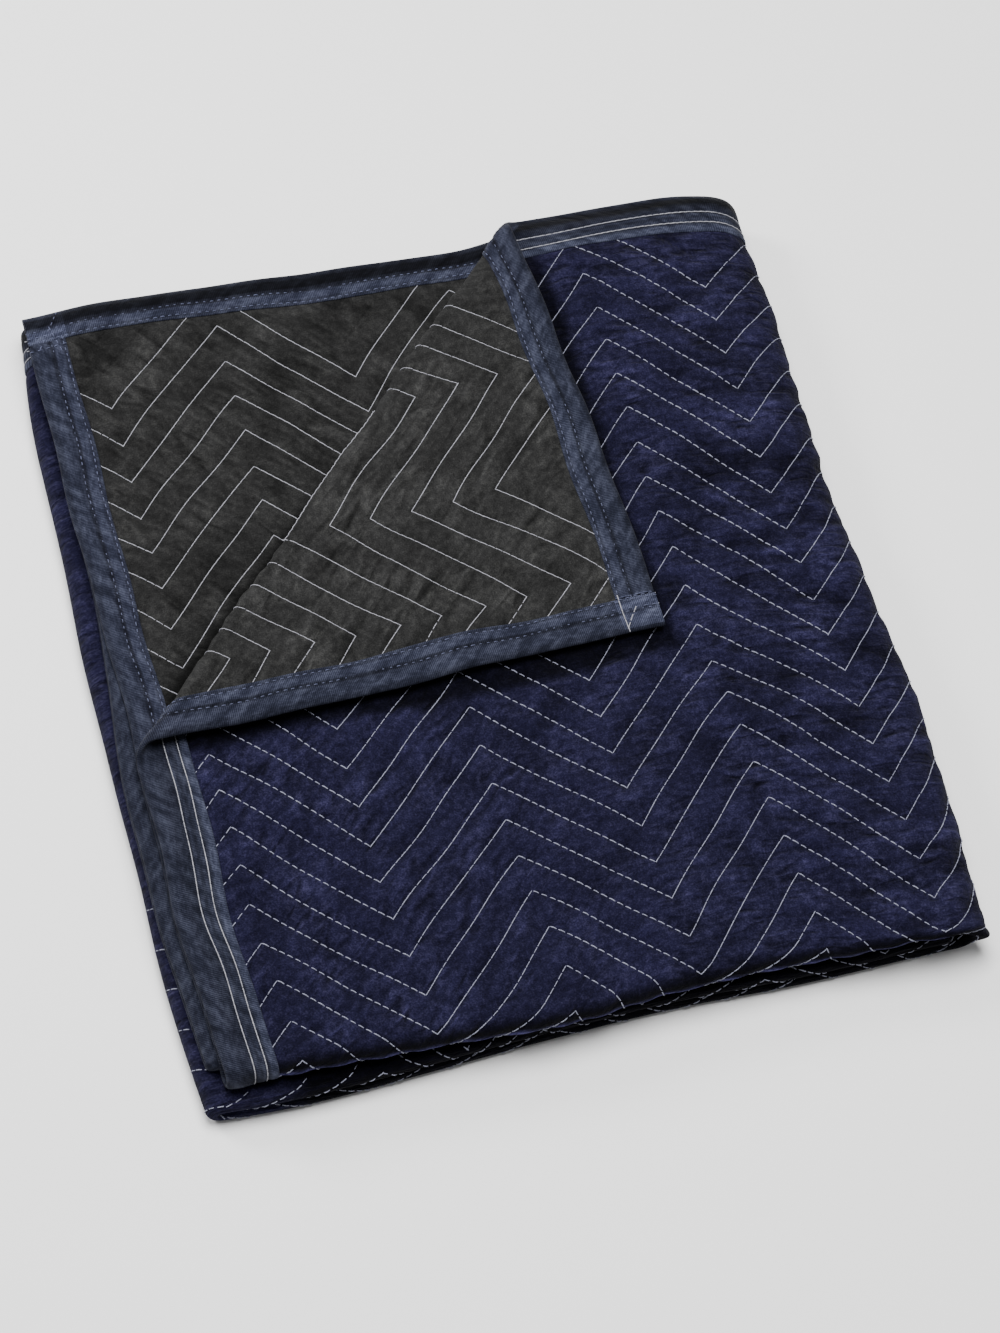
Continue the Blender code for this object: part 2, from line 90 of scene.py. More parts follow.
# End lines, left to right: x, then the far edges and the fronts of the top, second and low pairs.
ends = mm * np.array([
    (-228.6, -6, 5, 0, 0),
    (-152.4, 0, 5, 0, -4),
    (-76.2, -2.5, 3.5, 3, -1),
    (0, -6, 0, 0, 3),
    (76.2, -7, 5, 4.5, 5),
    (152.4, 2, 5, 4.5, 3),
    (228.6, -1, 0, 0, 4),
    (270, -10, -1, 0, 4),
])
farEdge, topFront, secondFront, lowFront = 1, 2, 3, 4


def halfEllipse(across, up):
    a, b = abs(across), abs(up)
    return math.pi * (3 * (a + b) - math.sqrt((3 * a + b) * (a + 3 * b))) / 2


def runSpan(startX, endX, pair):
    return {"turns": False, "length": abs(endX - startX), "x": startX,
            "z": (pair - 0.5) * packet["pairPitch"], "heading": 1 if endX > startX else -1}


def turnSpan(x, z, heading, reachX, reachZ):
    return {"turns": True, "length": halfEllipse(reachX, reachZ), "x": x, "z": z,
            "heading": heading, "reachX": reachX, "reachZ": reachZ}


pitch = packet["pairPitch"]
spans = [
    runSpan(packet["leftX"], packet["rollX"], 4),
    turnSpan(packet["rollX"], 2 * pitch, 1, packet["rollReach"], 1.5 * pitch),
    runSpan(packet["rollX"], packet["leftFoldX"], 1),
    turnSpan(packet["leftFoldX"], pitch, 1, -pitch / 2, -pitch / 2),
    runSpan(packet["leftFoldX"], packet["innerTurnX"], 2),
    turnSpan(packet["innerTurnX"], 2 * pitch, -1, pitch / 2, -pitch / 2),
    runSpan(packet["innerTurnX"], packet["secondLeftX"], 3),
]
starts = [sum(span["length"] for span in spans[:i]) for i in range(len(spans) + 1)]
rollStart, bottomStart, leftFoldStart, thirdStart, innerTurnStart, secondStart, length = starts[1:]
frontLine = packet["frontY"] + packet["topLoop"] + packet["layerHalf"]
noseStart = packet["farY"] - frontLine
noseEnd = noseStart + packet["noseCloth"]
width = noseEnd + packet["lowerFarY"] - frontLine
halfRoll = math.pi * packet["creaseRadius"] / 2
topHeight = 36.3 * mm


def smooth(t):
    t = np.clip(t, 0.0, 1.0)
    return t * t * (3 - 2 * t)


def blend(a, b, t):
    return a + (b - a) * t


def readTable(table, column, at):
    # a smooth curve through the table's rows
    places, values = table[:, 0], table[:, column]
    slopes = np.gradient(values, places)
    at = np.clip(at, places[0], places[-1])
    low = np.clip(np.searchsorted(places, at) - 1, 0, len(places) - 2)
    step = places[low + 1] - places[low]
    t = (at - places[low]) / step
    rest = 1 - t
    return ((1 + 2 * t) * rest ** 2 * values[low] + t * rest ** 2 * step * slopes[low]
            + t ** 2 * (3 - 2 * t) * values[low + 1] - t ** 2 * rest * step * slopes[low + 1])


def pastCrease(u, v):
    acrossX = (packet["leftX"] + u - packet["creaseX"]) * math.sin(packet["creaseAngle"])
    acrossY = (packet["farY"] - v - packet["creaseY"]) * math.cos(packet["creaseAngle"])
    return acrossY - acrossX + halfRoll


def turnCorner(u, v, w):
    # rolls the far left corner of the top layer back over the crease
    past = pastCrease(u, v)
    radius = packet["creaseRadius"]
    angle = past / radius
    onRoll = past < 2 * halfRoll
    along = np.where(onRoll, (radius - w) * np.sin(angle), 2 * halfRoll - past)
    up = np.where(onRoll, radius - (radius - w) * np.cos(angle),
                  2 * radius - w + packet["cornerDroop"] * along)
    turned = past > 0
    moved = np.where(turned, past - along, 0.0)
    return (u + moved * math.sin(packet["creaseAngle"]), v + moved * math.cos(packet["creaseAngle"]),
            np.where(turned, up, w))


def pairCentre(u):
    # the centre of the folded pair: x, z and the direction of its first layer
    x, z, outX, outZ = (np.zeros_like(u) for _ in range(4))
    for start, span in zip(starts, spans):
        along = u - start
        if span["turns"]:
            angle = np.clip(math.pi * along / span["length"], 0, math.pi)
            sine, cosine = np.sin(angle), np.cos(angle)
            across, up = sine / span["reachX"], cosine / span["reachZ"]
            size = span["heading"] * np.hypot(across, up)
            values = (span["x"] + span["reachX"] * sine, span["z"] + span["reachZ"] * cosine,
                      across / size, up / size)
        else:
            values = (span["x"] + span["heading"] * along, span["z"], 0.0, float(span["heading"]))
        here = (u >= start) | (start == 0)
        x, z, outX, outZ = (np.where(here, new, old) for new, old in zip(values, (x, z, outX, outZ)))
    return x, z, outX, outZ


def topShare(u):
    return 1 - smooth((u - rollStart) / (bottomStart - rollStart))


def secondShare(u):
    return smooth((u - innerTurnStart) / (secondStart - innerTurnStart))


def layerCentre(u, v):
    # the middle of a layer across the pair, and the way its face side points
    loose = np.clip(1 - (u + packet["leftX"] - packet["loopEndX"]) / packet["loopFade"], 0, 1)
    radius = blend(packet["pairHalf"], packet["topLoop"], smooth(loose))
    noseY = (packet["frontY"] + packet["secondSetback"] * secondShare(u) + radius
             + packet["layerHalf"])
    half = packet["pairHalf"]

    def onLayer(place):
        angle = math.pi * (place - noseStart) / packet["noseCloth"]
        rise = 2 * (radius - half) * (1 - smooth((place - noseEnd) / packet["loopRise"]))
        front = packet["farY"] - place / noseStart * (packet["farY"] - noseY)
        back = noseY + (place - noseEnd) / (width - noseEnd) * (packet["lowerFarY"] - noseY)
        y = np.where(place < noseStart, front,
                     np.where(place < noseEnd, noseY - radius * np.sin(angle), back))
        off = np.where(place < noseStart, half,
                       np.where(place < noseEnd, half - radius + radius * np.cos(angle),
                                -half - rise))
        return y, off

    yBefore, offBefore = onLayer(v - 0.05 * mm)
    yAfter, offAfter = onLayer(v + 0.05 * mm)
    size = np.hypot(yAfter - yBefore, offAfter - offBefore)
    return *onLayer(v), (offAfter - offBefore) / size, (yBefore - yAfter) / size


def unevenness(u, x, y):
    top, second = topShare(u), secondShare(u)
    low = 1 - top - second
    left, front = (
        sum(share * readTable(table, column, at) for share, column in zip((top, second, low), columns))
        for table, at, columns in ((sides, y, (topPair, secondPair, leftFoldColumn)),
                                   (ends, x, (topFront, secondFront, lowFront))))
    across = np.minimum((x - packet["leftX"]) / (packet["rollX"] - packet["leftX"]), 1.0)
    back = np.minimum((y - packet["frontY"]) / (packet["farY"] - packet["frontY"]), 1.0)
    return (blend(left, readTable(sides, rightRollColumn, y), across),
            blend(front, readTable(ends, farEdge, x), back))


# How the stack settles: soft waves over its top, and edges that hang a little lower.
settling = {
    "waves": [  # height, wavelength, direction in degrees, phase
        (0.55 * mm, 118 * mm, 20, 0.4),
        (0.45 * mm, 83 * mm, 104, 2.1),
        (0.35 * mm, 61 * mm, 62, 4.0),
        (0.30 * mm, 47 * mm, 151, 1.2),
    ],
    "sways": [  # the same, for the outline's small sideways sway
        (0.7 * mm, 92 * mm, 80, 0.9),
        (0.45 * mm, 53 * mm, 12, 2.7),
    ],
    "swayBack": 0.6,        # the sway from front to back, beside the sway across
    "farDrop": 0.12,        # share of the height lost at the far edge
    "farReach": 17 * mm,
}


def waveSum(waves, x, y):
    total = np.zeros_like(x)
    for size, wavelength, degrees, phase in waves:
        turn = math.radians(degrees)
        along = x * math.cos(turn) + y * math.sin(turn)
        total += size * np.sin(2 * math.pi * along / wavelength + phase)
    return total


def settle(x, y, z):
    reach, share = settling["farReach"], z / topHeight
    drop = settling["farDrop"] * smooth((y - packet["farY"] + reach) / reach) ** 2
    return (x + waveSum(settling["sways"], x, y) * share,
            y + settling["swayBack"] * waveSum(settling["sways"], y, x) * share,
            z * (1 - drop) + waveSum(settling["waves"], x, y) * share)


# How the turned-back corner lies a little slack: the middle of each hump u, v, its reach in u and v,
# and how far the cloth is carried there in x and y.
cornerSlack = mm * np.array([
    (150, -20, 260, 80, 3.5, 0),
    (-10, 230, 60, 60, 0, -3.5),
])


def hump(u, v, middleU, middleV, reachU, reachV):
    return np.exp(-((u - middleU) / reachU) ** 2 - ((v - middleV) / reachV) ** 2)


def carried(u, v, *groups):
    # how far groups of humps carry the cloth, each group by its own share
    awayU, awayV = np.zeros_like(u), np.zeros_like(v)
    for part, humps in groups:
        for *place, du, dv in humps:
            share = part * hump(u, v, *place)
            awayU, awayV = awayU + share * du, awayV + share * dv
    return awayU, awayV


def foldCloth(flatU, flatV, flatW):
    # from the flat blanket to the folded packet
    flatU, flatV, flatW = np.broadcast_arrays(*(np.asarray(a, float) for a in (flatU, flatV, flatW)))
    u, v, w = turnCorner(flatU, flatV, flatW)
    y, off, normalY, normalOff = layerCentre(u, v)
    y, off = y + w * normalY, off + w * normalOff
    x, z, outX, outZ = pairCentre(u)
    x, z = x + outX * off, z + outZ * off
    bottom = packet["pairPitch"] / 2 - packet["pairHalf"] - packet["layerHalf"]
    rightX = packet["rollX"] + packet["rollReach"] + packet["pairHalf"] + packet["layerHalf"]
    height = blend(packet["heightLeft"], packet["heightRight"],
                   (x - packet["leftX"]) / (rightX - packet["leftX"]))

    # the crease itself is straight, and the turned corner carries its own edges' unevenness
    past = pastCrease(flatU, flatV)
    beyond = past > 2 * halfRoll
    moveX, moveY = unevenness(u, x, y)
    cornerY = readTable(sides, topPair, packet["farY"] - flatV)
    share = np.where(beyond, np.clip((past - 2 * halfRoll) / packet["creaseEase"], 0, 1),
                     np.clip(-past / packet["creaseEase"], 0, 1))
    slackX, slackY = carried(flatU, flatV, (1, cornerSlack))
    x = x + share * np.where(beyond, slackX, moveX)
    y = y + share * np.where(beyond, cornerY + slackY, moveY)
    x, y, z = settle(x, y, (z - bottom) * height)
    return np.stack([x - packet["middleX"], y - packet["middleY"], z], axis=-1)


quilting = {
    "period": 152.4 * mm,
    "depth": 75.0 * mm,
    "spacing": 25.4 * mm,
    "firstRow": 0.3 * mm,
    "rows": 40,
    "troughPhase": 0.488,
    "cornerRound": 0.006,
    "stitchPitch": 5.0 * mm,
    "lift": 0.1 * mm,       # of a stitch over the cloth
    # Where the rows stray from an even zigzag, as cloth creeps under the needle: the middle of
    # each soft hump u, v, its reach in u and v, and how far the rows are carried there in u and v.
    "topStrays": mm * np.array([
        (300, 545, 230, 95, 14, 0),
        (344, 318, 36, 42, -4, 6.5),
        (114, 390, 42, 62, 0, 4),
        (192, 480, 40, 40, 3, -5),
        (430, 140, 45, 150, -3.5, -4),
        (430, 380, 40, 90, -2.5, -2.5),
        (452, 260, 12, 420, 0, -8.8),
        (940, 300, 140, 5000, 76, 0),
    ]),
    "cornerStrays": mm * np.array([     # on the turned-back corner
        (150, 30, 160, 140, 0, -10),
        (75, 140, 70, 70, -6, 0),
        (130, 178, 40, 30, 4, -3),
    ]),
    "cornerPlace": (-45 * mm, 60 * mm),     # past the crease: where it begins, and how gently
    "underStrays": mm * np.array([      # in the layer below the front fold
        (39, 900, 300, 300, -2, 4),
        (39, 1003, 60, 35, 0, 5),
        (39, 815, 40, 30, 0, -4),
        (250, 1020, 80, 80, -7, 7),
        (113, 1060, 50, 30, 0, 4),
        (940, 300, 140, 5000, 76, 0),
    ]),
}


def zigzagPhase(u):
    return ((u + packet["leftX"]) / quilting["period"]) % 1.0, quilting["troughPhase"]


def zigzag(u):
    # 0 at the peaks of a row, 1 at its troughs, with slightly rounded corners
    phase, trough = zigzagPhase(u)
    up = np.where(phase < trough, phase / trough, (1 - phase) / (1 - trough))
    e = quilting["cornerRound"]
    up = np.sqrt(up ** 2 + e ** 2) - e * (1 - up)
    down = 1 - up
    return 1 - (np.sqrt(down ** 2 + e ** 2) - e * (1 - down))


def stray(u, v):
    # how far the rows are carried from their even place
    below = smooth((v - noseStart) / (noseEnd - noseStart))
    start, fade = quilting["cornerPlace"]
    turned = smooth((pastCrease(u, v) - start) / fade) * (1 - below)
    return carried(u, v, ((1 - below) * (1 - turned), quilting["topStrays"]),
                   (turned, quilting["cornerStrays"]), (below, quilting["underStrays"]))


def rowCoordinate(u, v):
    # whole numbers lie on the rows of stitches
    evenU, evenV = u, v
    for _ in range(3):
        awayU, awayV = stray(evenU, evenV)
        evenU, evenV = u - awayU, v - awayV
    return (evenV - quilting["firstRow"] - quilting["depth"] * zigzag(evenU)) / quilting["spacing"]


def rowPlace(row, evenU):
    # flat places along one row
    evenV = quilting["firstRow"] + row * quilting["spacing"] + quilting["depth"] * zigzag(evenU)
    awayU, awayV = stray(evenU, evenV)
    return evenU + awayU, evenV + awayV


def pillow(u, v):
    # 0 on a row, 1 midway between two
    return 0.5 - 0.5 * np.cos(2 * math.pi * rowCoordinate(u, v))


def edgeDistance(u, v):
    return np.minimum(np.minimum(u, length - u), np.minimum(v, width - v))


# Gathers drawn up by the sewing: their width, their length and their height.
gatherSettings = {
    "small": (7.5 * mm, 22 * mm, 0.32 * mm),
    "large": (17 * mm, 40 * mm, 0.30 * mm),
    "cornerShare": 0.05,    # share of a zigzag in which their slant changes
    "patches": (85 * mm, 0.65, 0.5),            # how wide the stronger patches are, mean and spread
    "roll": (24 * mm, 6.5 * mm, 0.55 * mm),     # across the right roll: length, width and height
    "rollPlace": (300 * mm, 90 * mm),           # where they begin, and how gently
    "seed": 7,
}


def softNoise(a, b, seed):
    # smooth random hills about one unit across, from -1 to 1
    heights = np.random.default_rng(seed).uniform(-1, 1, (64, 64))
    lowA, lowB = np.floor(a).astype(int), np.floor(b).astype(int)
    shareA, shareB = smooth(a - lowA), smooth(b - lowB)
    corners = [[heights[(lowA + i) % 64, (lowB + j) % 64] for i in (0, 1)] for j in (0, 1)]
    return blend(blend(*corners[0], shareA), blend(*corners[1], shareA), shareB)


def sewnGathers(u, v):
    # they stand square to each leg of the zigzag, stronger in some patches than in others
    g = gatherSettings
    phase, trough = zigzagPhase(u)
    fromCorner = np.where(phase < trough, np.minimum(phase, trough - phase),
                          -np.minimum(phase - trough, 1 - phase))
    share = smooth(fromCorner / g["cornerShare"] + 0.5)
    one, other = (u + v) / math.sqrt(2), (u - v) / math.sqrt(2)
    total = np.zeros_like(u)
    for i, (across, along, height) in enumerate((g["small"], g["large"])):
        falling = softNoise(one / across, other / along, g["seed"] + i)
        rising = softNoise(other / across, one / along, g["seed"] + 10 + i)
        total = total + height * blend(rising, falling, share)
    wide, mean, spread = g["patches"]
    patchy = mean + spread * softNoise(u / wide, v / wide, g["seed"] + 20)
    along, across, height = g["roll"]
    start, fade = g["rollPlace"]
    nearRoll = smooth((u - start) / fade) * height
    return total * patchy + nearRoll * softNoise(u / along, v / across, g["seed"] + 30)


clothSettings = {
    "thick": 1.9 * mm,
    "gap": 0.3 * mm,          # between the face cloth and the back cloth
    "edgeThick": 0.7 * mm,    # where it is sewn into the binding
    "edgeFade": 7 * mm,
    "facePuff": 0.55 * mm,    # how far it stands up between the rows, and dips along them
    "faceDip": 0.75 * mm,
    "faceFade": (20 * mm, 12 * mm),     # along u and v, before the hidden layers
    "rollFrom": 440 * mm,     # drawn tight over the roll
    "rollFade": 22 * mm,
    "rollTight": 0.5,
    # the roll's near end: its middle in u and past the start of the front fold, and its reach
    "knot": (462 * mm, 6 * mm, 20 * mm, 12 * mm),
    "knotPuff": 3 * mm,
    "backPuff": 0.30 * mm,
    "backDip": 0.80 * mm,
    "backFrom": 330 * mm,     # the back cloth shows up to here from its corners
    "backReach": 355 * mm,
    "backFade": 25 * mm,
    "rimInset": 0.2 * mm,
    "fine": 3.0 * mm,
    "coarse": 13.0 * mm,
    "noseStep": 2.4 * mm,
    "noseReach": 16 * mm,     # cloth beyond the front fold that may still show
    "turnStep": 1.3 * mm,
}
# Painted light and shade on the cloths, where 1 is their plain colour.
shadeSettings = {
    # painted light and shade of the gathers: darker in their hollows, lighter on their tops
    "gather": 0.45,           # for a gather of this height
    "gatherHeight": 0.55 * mm,
    # painted shade along the rows of stitches
    "row": 0.1,
    # painted shadow beside the turned-back corner and its crease
    "beside": 0.8,            # beside the turned-back corner, as far as this and then fading
    "besideFace": 5.5 * mm,
    "besideBack": 4 * mm,
    "besideFade": 8 * mm,
    # painted light and shade on the back cloth: lighter where it is turned back, darker where it lies flat
    "backTurned": 1.1,
    "backLying": 0.9,
    # painted shade down the folded front, where little light reaches
    "front": 0.88,            # down the folded front
    "frontFade": 9 * mm,
    "frontTop": -2 * mm,      # how far before the front fold it starts, in the top and the low layers
    "frontLow": 40 * mm,
    "leftX": -140 * mm,       # the low layers stay light to the left of this
    "leftFade": 30 * mm,
    # painted highlight along each front fold
    "rim": 4.5,               # the pale line along each front fold: its place on it and its width
    "rimPlace": 16.5 * mm,
    "rimWidth": 1.5 * mm,
    "darkest": 0.1,
    "lightest": 4.5,
}
tape = {
    "faceWidth": 29.0 * mm,
    "backWidth": 21.5 * mm,
    "lap": 0.3 * mm,
    "overEdge": 1.6 * mm,
    "faceRows": ((15.0 * mm, 1.7 * mm), (22.5 * mm, 1.7 * mm)),     # distance from the edge, height
    "backRows": ((11.6 * mm, 1.3 * mm), (19.2 * mm, 1.6 * mm)),
    "rowStep": 2.2 * mm,
    "rowSway": 0.6 * mm,
    "step": 3.2 * mm,
    "plainStep": 5 * mm,
    "noseStep": 2.2 * mm,
    "gatherHeight": 0.16 * mm,
    # share, slant, wavelength, how far it wanders and how slowly, the lengths in millimetres
    "gatherWaves": [(1.0, 0.5, 13.7, 1.3, 41.0), (0.7, -0.35, 8.9, 2.1, 57.0)],
    "lapReach": 24 * mm,
}


def stations(*stops):
    # places along a line: (place, step up to the next stop), ..., (last place, 0)
    places = [np.array([stops[0][0]])]
    for (low, step), (high, _) in zip(stops, stops[1:]):
        count = max(2, 2 * math.ceil((high - low) / step / 2))
        places.append(np.linspace(low, high, count + 1)[1:])
    return np.concatenate(places)


def cornerShadowMask(u, v, side):
    # mask of the painted shadow: 1 right beside the turned-back corner or its crease, falling to 0 away from
    # it
    if side > 0:
        past = pastCrease(u, v)
        moved = 2 * halfRoll - 2 * past
        flapU = u - moved * math.sin(packet["creaseAngle"])
        flapV = v - moved * math.cos(packet["creaseAngle"])
        away = np.maximum(np.maximum(-flapU, -flapV), 0) + 1.0 * (past > 0) + 1.0 * (u > bottomStart)
        return 1 - smooth((away - shadeSettings["besideFace"]) / shadeSettings["besideFade"])
    y = frontLine + (v - noseEnd) / (width - noseEnd) * (packet["lowerFarY"] - frontLine)
    away = pastCrease(u, packet["farY"] - y) - packet["creaseRadius"]
    near = 1 - smooth((away - shadeSettings["besideBack"]) / shadeSettings["besideFade"])
    return np.where((v > noseEnd) & (u < rollStart), near, 0.0)


def clothSkin(u, v, side, gathersOnly=False):
    # how far a cloth's outer skin is from the middle of its layer
    s = clothSettings
    bound = tape["faceWidth"] if side > 0 else tape["backWidth"]
    inside = smooth((edgeDistance(u, v) - bound + 1 * mm) / s["edgeFade"])
    if side > 0:
        fadeU, fadeV = s["faceFade"]
        shown = (1 - smooth((u - bottomStart + fadeU) / fadeU)) * (1 - smooth((v - noseEnd + fadeV) / fadeV))
        flatter = 1 - s["rollTight"] * smooth((u - s["rollFrom"]) / s["rollFade"]) * (u < bottomStart)
        puff, dip = s["facePuff"] * flatter, s["faceDip"] * flatter
        puff = puff + s["knotPuff"] * hump(u, v - noseStart, *s["knot"])
        gathered = pastCrease(u, v) < 0
    else:
        start, fade = s["backFrom"], s["backFade"]
        shown = (1 - smooth((u - start) / fade)) * np.maximum(
            1 - smooth((v - start) / fade), smooth((v - width + s["backReach"]) / fade))
        puff, dip = s["backPuff"], s["backDip"]
        gathered = (pastCrease(u, v) > 0) | (v > width / 2)
    gathers = shown * gathered * sewnGathers(u, v)
    if gathersOnly:
        return gathers
    relief = shown * (puff - (puff + dip) * (1 - pillow(u, v))) + gathers
    return s["gap"] / 2 + blend(s["edgeThick"], s["thick"] + relief, inside)


def addObject(name, data):
    piece = bpy.data.objects.new(name, data)
    bpy.context.scene.collection.objects.link(piece)
    return piece


def storeValues(mesh, name, values):
    # keeps a number or a vector for each point of a mesh
    kind, key = ("FLOAT_VECTOR", "vector") if values.ndim > 1 else ("FLOAT", "value")
    attribute = mesh.attributes.new(name, kind, "POINT")
    attribute.data.foreach_set(key, values.astype(np.float32).ravel())


def addMesh(name, points, faces, material, flat, **stored):
    mesh = bpy.data.meshes.new(name)
    mesh.from_pydata(points.tolist(), [], faces)
    mesh.update()
    faceOutwards(mesh)
    corners = np.zeros(len(mesh.loops), np.int32)
    mesh.loops.foreach_get("vertex_index", corners)
    layer = mesh.uv_layers.new(name="flat")
    layer.uv.foreach_set("vector", flat[corners].astype(np.float32).ravel())
    for key, values in stored.items():
        storeValues(mesh, key, values)
    mesh.shade_smooth()
    mesh.set_sharp_from_angle(angle=math.radians(60))
    mesh.materials.append(material)
    return addObject(name, mesh)


def faceOutwards(mesh):
    # a closed mesh whose signed volume is below zero is inside out
    mesh.calc_loop_triangles()
    points = np.zeros(len(mesh.vertices) * 3)
    mesh.vertices.foreach_get("co", points)
    points = points.reshape(-1, 3)
    corners = np.zeros(len(mesh.loop_triangles) * 3, np.int32)
    mesh.loop_triangles.foreach_get("vertices", corners)
    a, b, c = (points[corners[i::3]] for i in range(3))
    if np.einsum("ij,ij->i", a, np.cross(b, c)).sum() < 0:
        mesh.flip_normals()


def makeCloth(name, side, material):
    # side is 1 for the face cloth and -1 for the back cloth
    s = clothSettings
    inset, back = s["rimInset"], s["backReach"]
    turns = [(leftFoldStart, s["turnStep"]), (thirdStart, s["coarse"]),
             (innerTurnStart, s["turnStep"]), (secondStart, s["coarse"]), (length - inset, 0)]
    if side > 0:
        us = stations((inset, s["fine"]), (rollStart, s["fine"]), (bottomStart, s["coarse"]), *turns)
        vs = stations((inset, s["fine"]), (noseStart, s["noseStep"]), (noseEnd, s["fine"]),
                      (noseEnd + s["noseReach"], s["coarse"]), (width - inset, 0))
    else:
        us = stations((inset, s["fine"]), (back, s["coarse"]), (rollStart, 2 * s["fine"]),
                      (bottomStart, s["coarse"]), *turns)
        vs = stations((inset, s["fine"]), (back, s["coarse"]), (noseStart, s["noseStep"]),
                      (noseEnd + s["noseReach"], s["coarse"]), (width - back, s["fine"]), (width - inset, 0))
    u, v = np.meshgrid(us, vs, indexing="ij")
    outer = foldCloth(u, v, side * clothSkin(u, v, side)).reshape(-1, 3)
    innerU, innerV = u[::2, ::2], v[::2, ::2]
    inner = foldCloth(innerU, innerV, side * s["gap"] / 2).reshape(-1, 3)

    countU, countV = u.shape
    index = np.arange(countU * countV).reshape(countU, countV)
    innerIndex = countU * countV + np.arange(innerU.size).reshape(innerU.shape)
    faces = []
    for grid, flip in ((index, False), (innerIndex, True)):
        a, b, c, d = (part.ravel() for part in (grid[:-1, :-1], grid[1:, :-1], grid[1:, 1:], grid[:-1, 1:]))
        # the diagonals run along the crease
        for triangle in (np.stack([a, b, d], 1), np.stack([b, c, d], 1)):
            faces += (triangle[:, ::-1] if flip else triangle).tolist()
    for outerLine, innerLine in (
        (index[:, 0], innerIndex[:, 0]), (index[-1, :], innerIndex[-1, :]),
        (index[::-1, -1], innerIndex[::-1, -1]), (index[0, ::-1], innerIndex[0, ::-1]),
    ):
        for i in range(len(innerLine) - 1):
            faces.append([int(outerLine[2 * i + 2]), int(outerLine[2 * i + 1]), int(outerLine[2 * i]),
                          int(innerLine[i]), int(innerLine[i + 1])])
    flat = np.concatenate([np.stack(pair, -1).reshape(-1, 2) for pair in ((u, v), (innerU, innerV))])
    u, v = flat.T
    # what the quilted material reads: the place along a row and across the rows
    alongRow = u * math.hypot(1, 2 * quilting["depth"] / quilting["period"])
    coordinates = np.stack([alongRow, rowCoordinate(u, v), np.zeros_like(u)], -1)
    return addMesh(name, np.concatenate([outer, inner]), faces, material, flat,
                   quilting=coordinates, shade=clothShade(u, v, side))


def clothShade(u, v, side):
    # painted light and shade on the nap: painted shade in the hollows of the gathers and along the rows, a
    # painted shadow beside the turned-back corner, painted shade down the folded front and a painted
    # highlight along each fold
    s = shadeSettings
    # painted shade in the hollows and along the rows, painted light on the tops of the gathers
    shade = 1 + s["gather"] * clothSkin(u, v, side, True) / s["gatherHeight"] - s["row"] * (1 - pillow(u, v))
    # painted shadow beside the turned-back corner
    shade = shade * (1 - s["beside"] * cornerShadowMask(u, v, side))
    if side < 0:
        # painted light on the turned-back corner, painted shade on the back cloth lying flat
        shade = shade * np.where(pastCrease(u, v) > 0, s["backTurned"], s["backLying"])
    else:
        # painted shade down the folded front; the low layers keep their colour to the left
        atLeft = smooth((s["leftX"] - pairCentre(u)[0]) / s["leftFade"]) * (u > bottomStart)
        reach = np.where(u > bottomStart, s["frontLow"], s["frontTop"])
        down = smooth((v - noseStart + reach) / s["frontFade"]) * (1 - atLeft)
        # painted highlight: a pale line along the edge of each fold
        rim = np.exp(-((v - noseStart - s["rimPlace"]) / s["rimWidth"]) ** 2)
        rim = rim * ((u < rollStart) | (u > secondStart))
        shade = shade * (1 - s["front"] * down) + s["rim"] * rim
    return np.clip(shade, s["darkest"], s["lightest"])


def gathers(along, distance):
    # short slanting puckers in the outer part of the tape
    s, d = along / mm, distance / mm
    return tape["gatherHeight"] * sum(
        share * np.sin(2 * math.pi * (s + slant * d) / wave + wander * np.sin(s / slow))
        for share, slant, wave, wander, slow in tape["gatherWaves"])


def tapeProfile():
    # (distance from the edge, height over the middle of the layer), once round the section
    face = [(29.0, 1.30), (28.8, 1.72), (28.0, 2.0), (25.8, 2.12), (23.6, 1.9), (22.5, 1.5), (21.4, 1.9),
            (18.8, 2.15), (16.1, 1.9), (15.0, 1.45), (13.9, 1.95), (11.0, 2.25), (7.5, 2.35), (4.0, 2.25),
            (1.2, 1.95)]
    edge = [(-0.7, 1.45), (-1.6, 0.55), (-1.6, -0.55), (-0.7, -1.45)]
    back = [(1.2, -1.9), (3.8, -2.2), (6.8, -2.25), (9.0, -1.95), (10.4, -1.45), (11.6, -1.5), (12.6, -1.9),
            (15.2, -2.15), (17.8, -1.95), (19.2, -1.5), (20.2, -1.9), (21.1, -1.8), (21.5, -1.35)]
    inside = [(21.5, -1.15), (15.0, -1.15), (8.0, -1.15), (0.2, -1.15), (-0.6, -0.6), (-0.6, 0.6),
              (0.2, 1.15), (8.0, 1.15), (16.0, 1.15), (23.0, 1.15), (29.0, 1.15)]
    return mm * np.array(face + edge + back + inside), len(face) + len(edge) + len(back)


